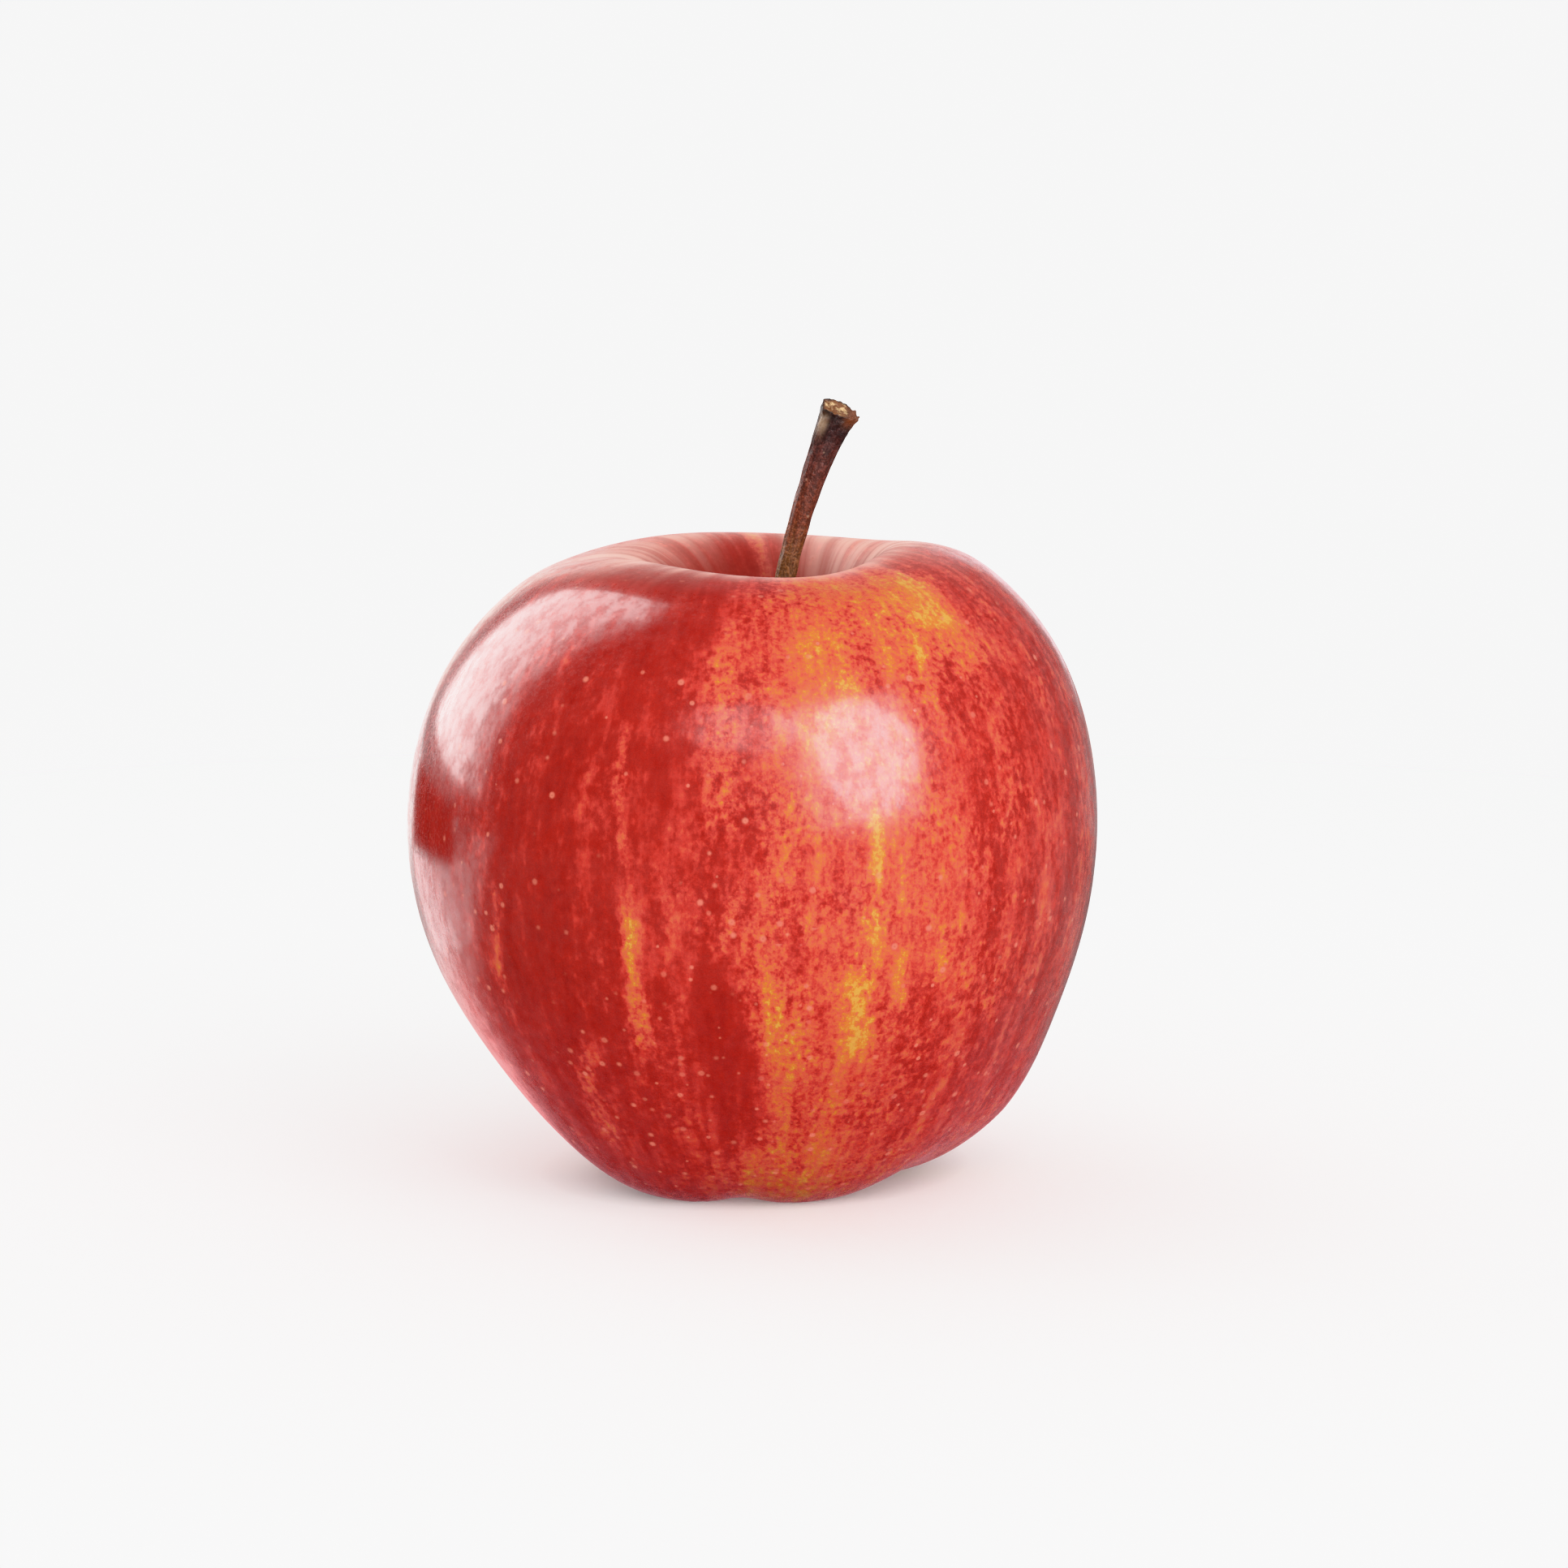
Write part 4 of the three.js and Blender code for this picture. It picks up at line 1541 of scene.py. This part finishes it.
@dataclass
class Studio:
    """The camera, the pale floor, the surroundings and the lights."""

    aim: tuple[float, float, float] = (0.0037, 0.0, 0.0448)
    distance: float = 0.8
    elevation: float = 9.5
    sensor: float = 36.0
    lens: float = 163.3
    backdrop: float = 1.34
    ambient: float = 1.05
    floor_radius: float = 0.7
    floor_sides: int = 96
    floor_tone: float = 0.80
    floor_glow: float = 0.18
    floor_fade: tuple[float, float] = (0.12, 0.4)
    mirrored_floor: tuple[float, float, float] = (0.14, 1.05, 0.15)
    mirrored_band: Levels = (0.05, 0.12, 1.1, 0.3)
    mirrored_far: Levels = (0.14, 0.24, 0.0, 0.8)
    mirrored_pink: Levels = (0.05, 0.14, 0.45, 1.0)
    # A painted pink glow of light bounced from the fruit, seen only in reflections, and its reach.
    painted_bounce_glow: Colour = (0.52, 0.22, 0.25)
    painted_bounce_glow_reach: tuple[float, float] = (0.03, 0.08)
    sky_front: float = 0.33
    sky_back: float = 1.7
    sky_top: float = 0.22
    sky_aside: tuple[float, float] = (0.18, 0.36)
    sky_left: Colour = (1.0, 0.94, 0.86)
    sky_right: Colour = (0.88, 0.80, 0.86)
    softboxes: tuple[Softbox, ...] = (
        Softbox(
            "window_left", 230.5, 55.0, 0.6, (0.39, 1.66), 7.5, upright=True, diffuse=False
        ),
        Softbox(
            "window_left_edge", 236.5, 55.0, 0.6, (0.52, 1.66), 6.9, upright=True, diffuse=False
        ),
        Softbox("fill_left", 236.0, 40.0, 1.0, (0.9, 1.1), 4.0, gloss=False),
        Softbox("fill_front", 15.0, 30.0, 1.0, (0.9, 0.9), 4.2, gloss=False),
        Softbox("box_right", 41.5, 30.5, 1.0, (0.60, 0.80), 15.5, diffuse=False, round=True),
        Softbox("box_right_edge", 37.0, 30.0, 1.02, (0.80, 0.90), 5.8),
        Softbox("box_right_wing", 358.0, 44.0, 1.0, (0.62, 0.36), 1.5, diffuse=False, round=True),
    )
    cards: tuple[Card, ...] = (
        Card("flag_left", 246.0, 0.09, 0.056, (0.026, 0.0435), (0.20, 0.025, 0.02)),
        Card("bounce_left", 246.0, 0.09, 0.063, (0.001, 0.024), (1.0, 0.86, 0.87), 0.62),
    )

    def build_camera(self) -> None:
        """A long lens a little above the belly, looking at the middle of the fruit."""
        e = math.radians(self.elevation)
        data = bpy.data.cameras.new("camera")
        data.lens, data.sensor_width = self.lens, self.sensor
        camera = linked("camera", data)
        heading = Vector((0.0, -math.cos(e), math.sin(e)))
        camera.location = Vector(self.aim) + heading * self.distance
        camera.rotation_euler = heading.to_track_quat("Z", "Y").to_euler()
        bpy.context.scene.camera = camera

    def mirrored_colour(self, graph: Graph, away: Socket) -> Socket:
        """What reflections see of the floor.

        It is dim in front. Behind, it is bright on the left and dim on the right, brightest in a
        band a few centimetres away and again far off, and pinker near the fruit, where the fruit's
        bounced light is painted.

        Args:
            graph: the floor's graph.
            away: distance from the fruit's middle, in metres.

        Returns:
            The floor's colour.
        """
        across = graph.node("SeparateXYZ", {0: graph.place()}).outputs
        front, left, right = (self.floor_tone * share for share in self.mirrored_floor)
        band = graph.levels(across["Y"], *self.mirrored_band)
        far = graph.maths("ADD", band, graph.levels(across["Y"], *self.mirrored_far))
        bright = graph.product(graph.levels(across["X"], -0.03, 0.04, left, right), far)
        aside = graph.product(graph.maths("MAXIMUM", across["X"], 0.0), 0.6)
        behind = graph.maths("SUBTRACT", across["Y"], aside)
        tone = graph.levels(behind, -0.005, 0.028, front, bright)
        pink = graph.product(tone, graph.levels(away, *self.mirrored_pink))
        return graph.colour(tone, pink, pink)

    def build_floor(self) -> None:
        """A pale disc under the apple that fades out into the backdrop.

        Reflections see it in other tones than the camera does, with a painted pink glow of light
        bounced from the fruit close to it.
        """
        angle = np.arange(self.floor_sides) * TURN / self.floor_sides
        rim = stacked(np.cos(angle), np.sin(angle), 0 * angle) * self.floor_radius
        mesh = bpy.data.meshes.new("floor")
        mesh.from_pydata(rim, [], [list(range(self.floor_sides))])
        floor = linked("floor", mesh)
        material, graph, shader = new_material("floor")
        mirrored = graph.node("LightPath").outputs["Is Glossy Ray"]
        away = graph.node("VectorMath", {0: graph.place()}, operation="LENGTH").outputs["Value"]
        tone = (self.floor_tone,) * 3
        colour = graph.mixed(mirrored, tone, self.mirrored_colour(graph, away))
        graph.feed(shader.inputs["Base Color"], colour)
        shader.inputs["Roughness"].default_value = 0.8
        shader.inputs["Specular IOR Level"].default_value = 0.1
        even = (self.floor_glow,) * 3
        # A painted pink glow of bounced light near the fruit, which only reflections see.
        painted_bounce_glow = graph.mixed(graph.levels(away, *self.painted_bounce_glow_reach, 1.0, 0.0), even, self.painted_bounce_glow)
        graph.feed(shader.inputs["Emission Color"], graph.mixed(mirrored, even, painted_bounce_glow))
        shader.inputs["Emission Strength"].default_value = 1.0
        shown = graph.levels(away, *self.floor_fade, 1.0, 0.0)
        graph.feed(shader.inputs["Alpha"], graph.maths("MAXIMUM", mirrored, shown))
        mesh.materials.append(material)

    def build_world(self) -> None:
        """A white backdrop for the camera, and even light for the surfaces.

        Reflections see a dim sky with a bright strip low down straight behind, which goes from
        creamy on its left to lilac on its right.
        """
        world = bpy.data.worlds.new("surroundings")
        world.use_nodes = True
        bpy.context.scene.world = world
        graph = Graph(world.node_tree)
        rays = graph.node("LightPath").outputs
        heading = graph.node("SeparateXYZ", {0: graph.node("TexCoord").outputs["Generated"]})
        heading = heading.outputs
        high = graph.levels(heading["Z"], 0.2, 0.6, self.sky_back, self.sky_top)
        aside = graph.levels(graph.maths("ABSOLUTE", heading["X"]), *self.sky_aside, 1.0, 0.0)
        back = graph.product(aside, graph.levels(heading["Y"], 0.1, 0.4))
        sky = graph.between(back, self.sky_front, high)
        strength = graph.between(rays["Is Glossy Ray"], self.ambient, sky)
        strength = graph.between(rays["Is Camera Ray"], strength, self.backdrop)
        sides = graph.levels(heading["X"], -0.35, 0.25)
        tint = graph.mixed(sides, self.sky_left, self.sky_right)
        strip = graph.product(rays["Is Glossy Ray"], back)
        background = world.node_tree.nodes["Background"]
        graph.feed(background.inputs["Color"], graph.mixed(strip, (1.0, 1.0, 1.0), tint))
        graph.feed(background.inputs["Strength"], strength)

    def build(self) -> None:
        """The whole studio, shown without a tint of its own."""
        self.build_camera()
        self.build_floor()
        self.build_world()
        for softbox in self.softboxes:
            softbox.build(Vector(self.aim))
        for card in self.cards:
            card.build()
        bpy.context.scene.view_settings.view_transform = "Khronos PBR Neutral"


# ------------------------------------------------------------------ the assembled apple


def main() -> None:
    """Builds the studio and the dressed pieces in order."""
    logging.basicConfig(level=logging.INFO, format="%(name)s: %(message)s")
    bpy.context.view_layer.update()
    build_grain()
    build_pores()
    Studio().build()
    fruit = Fruit()
    pit, basin = fruit.core_at(fruit.pit_floor), fruit.core_at(fruit.basin_floor)
    fruit.dress()
    Stalk().dress(pit)
    Calyx().dress(basin)
    Stamens().dress(basin)
    bpy.context.view_layer.update()


if __name__ == "__main__":
    main()
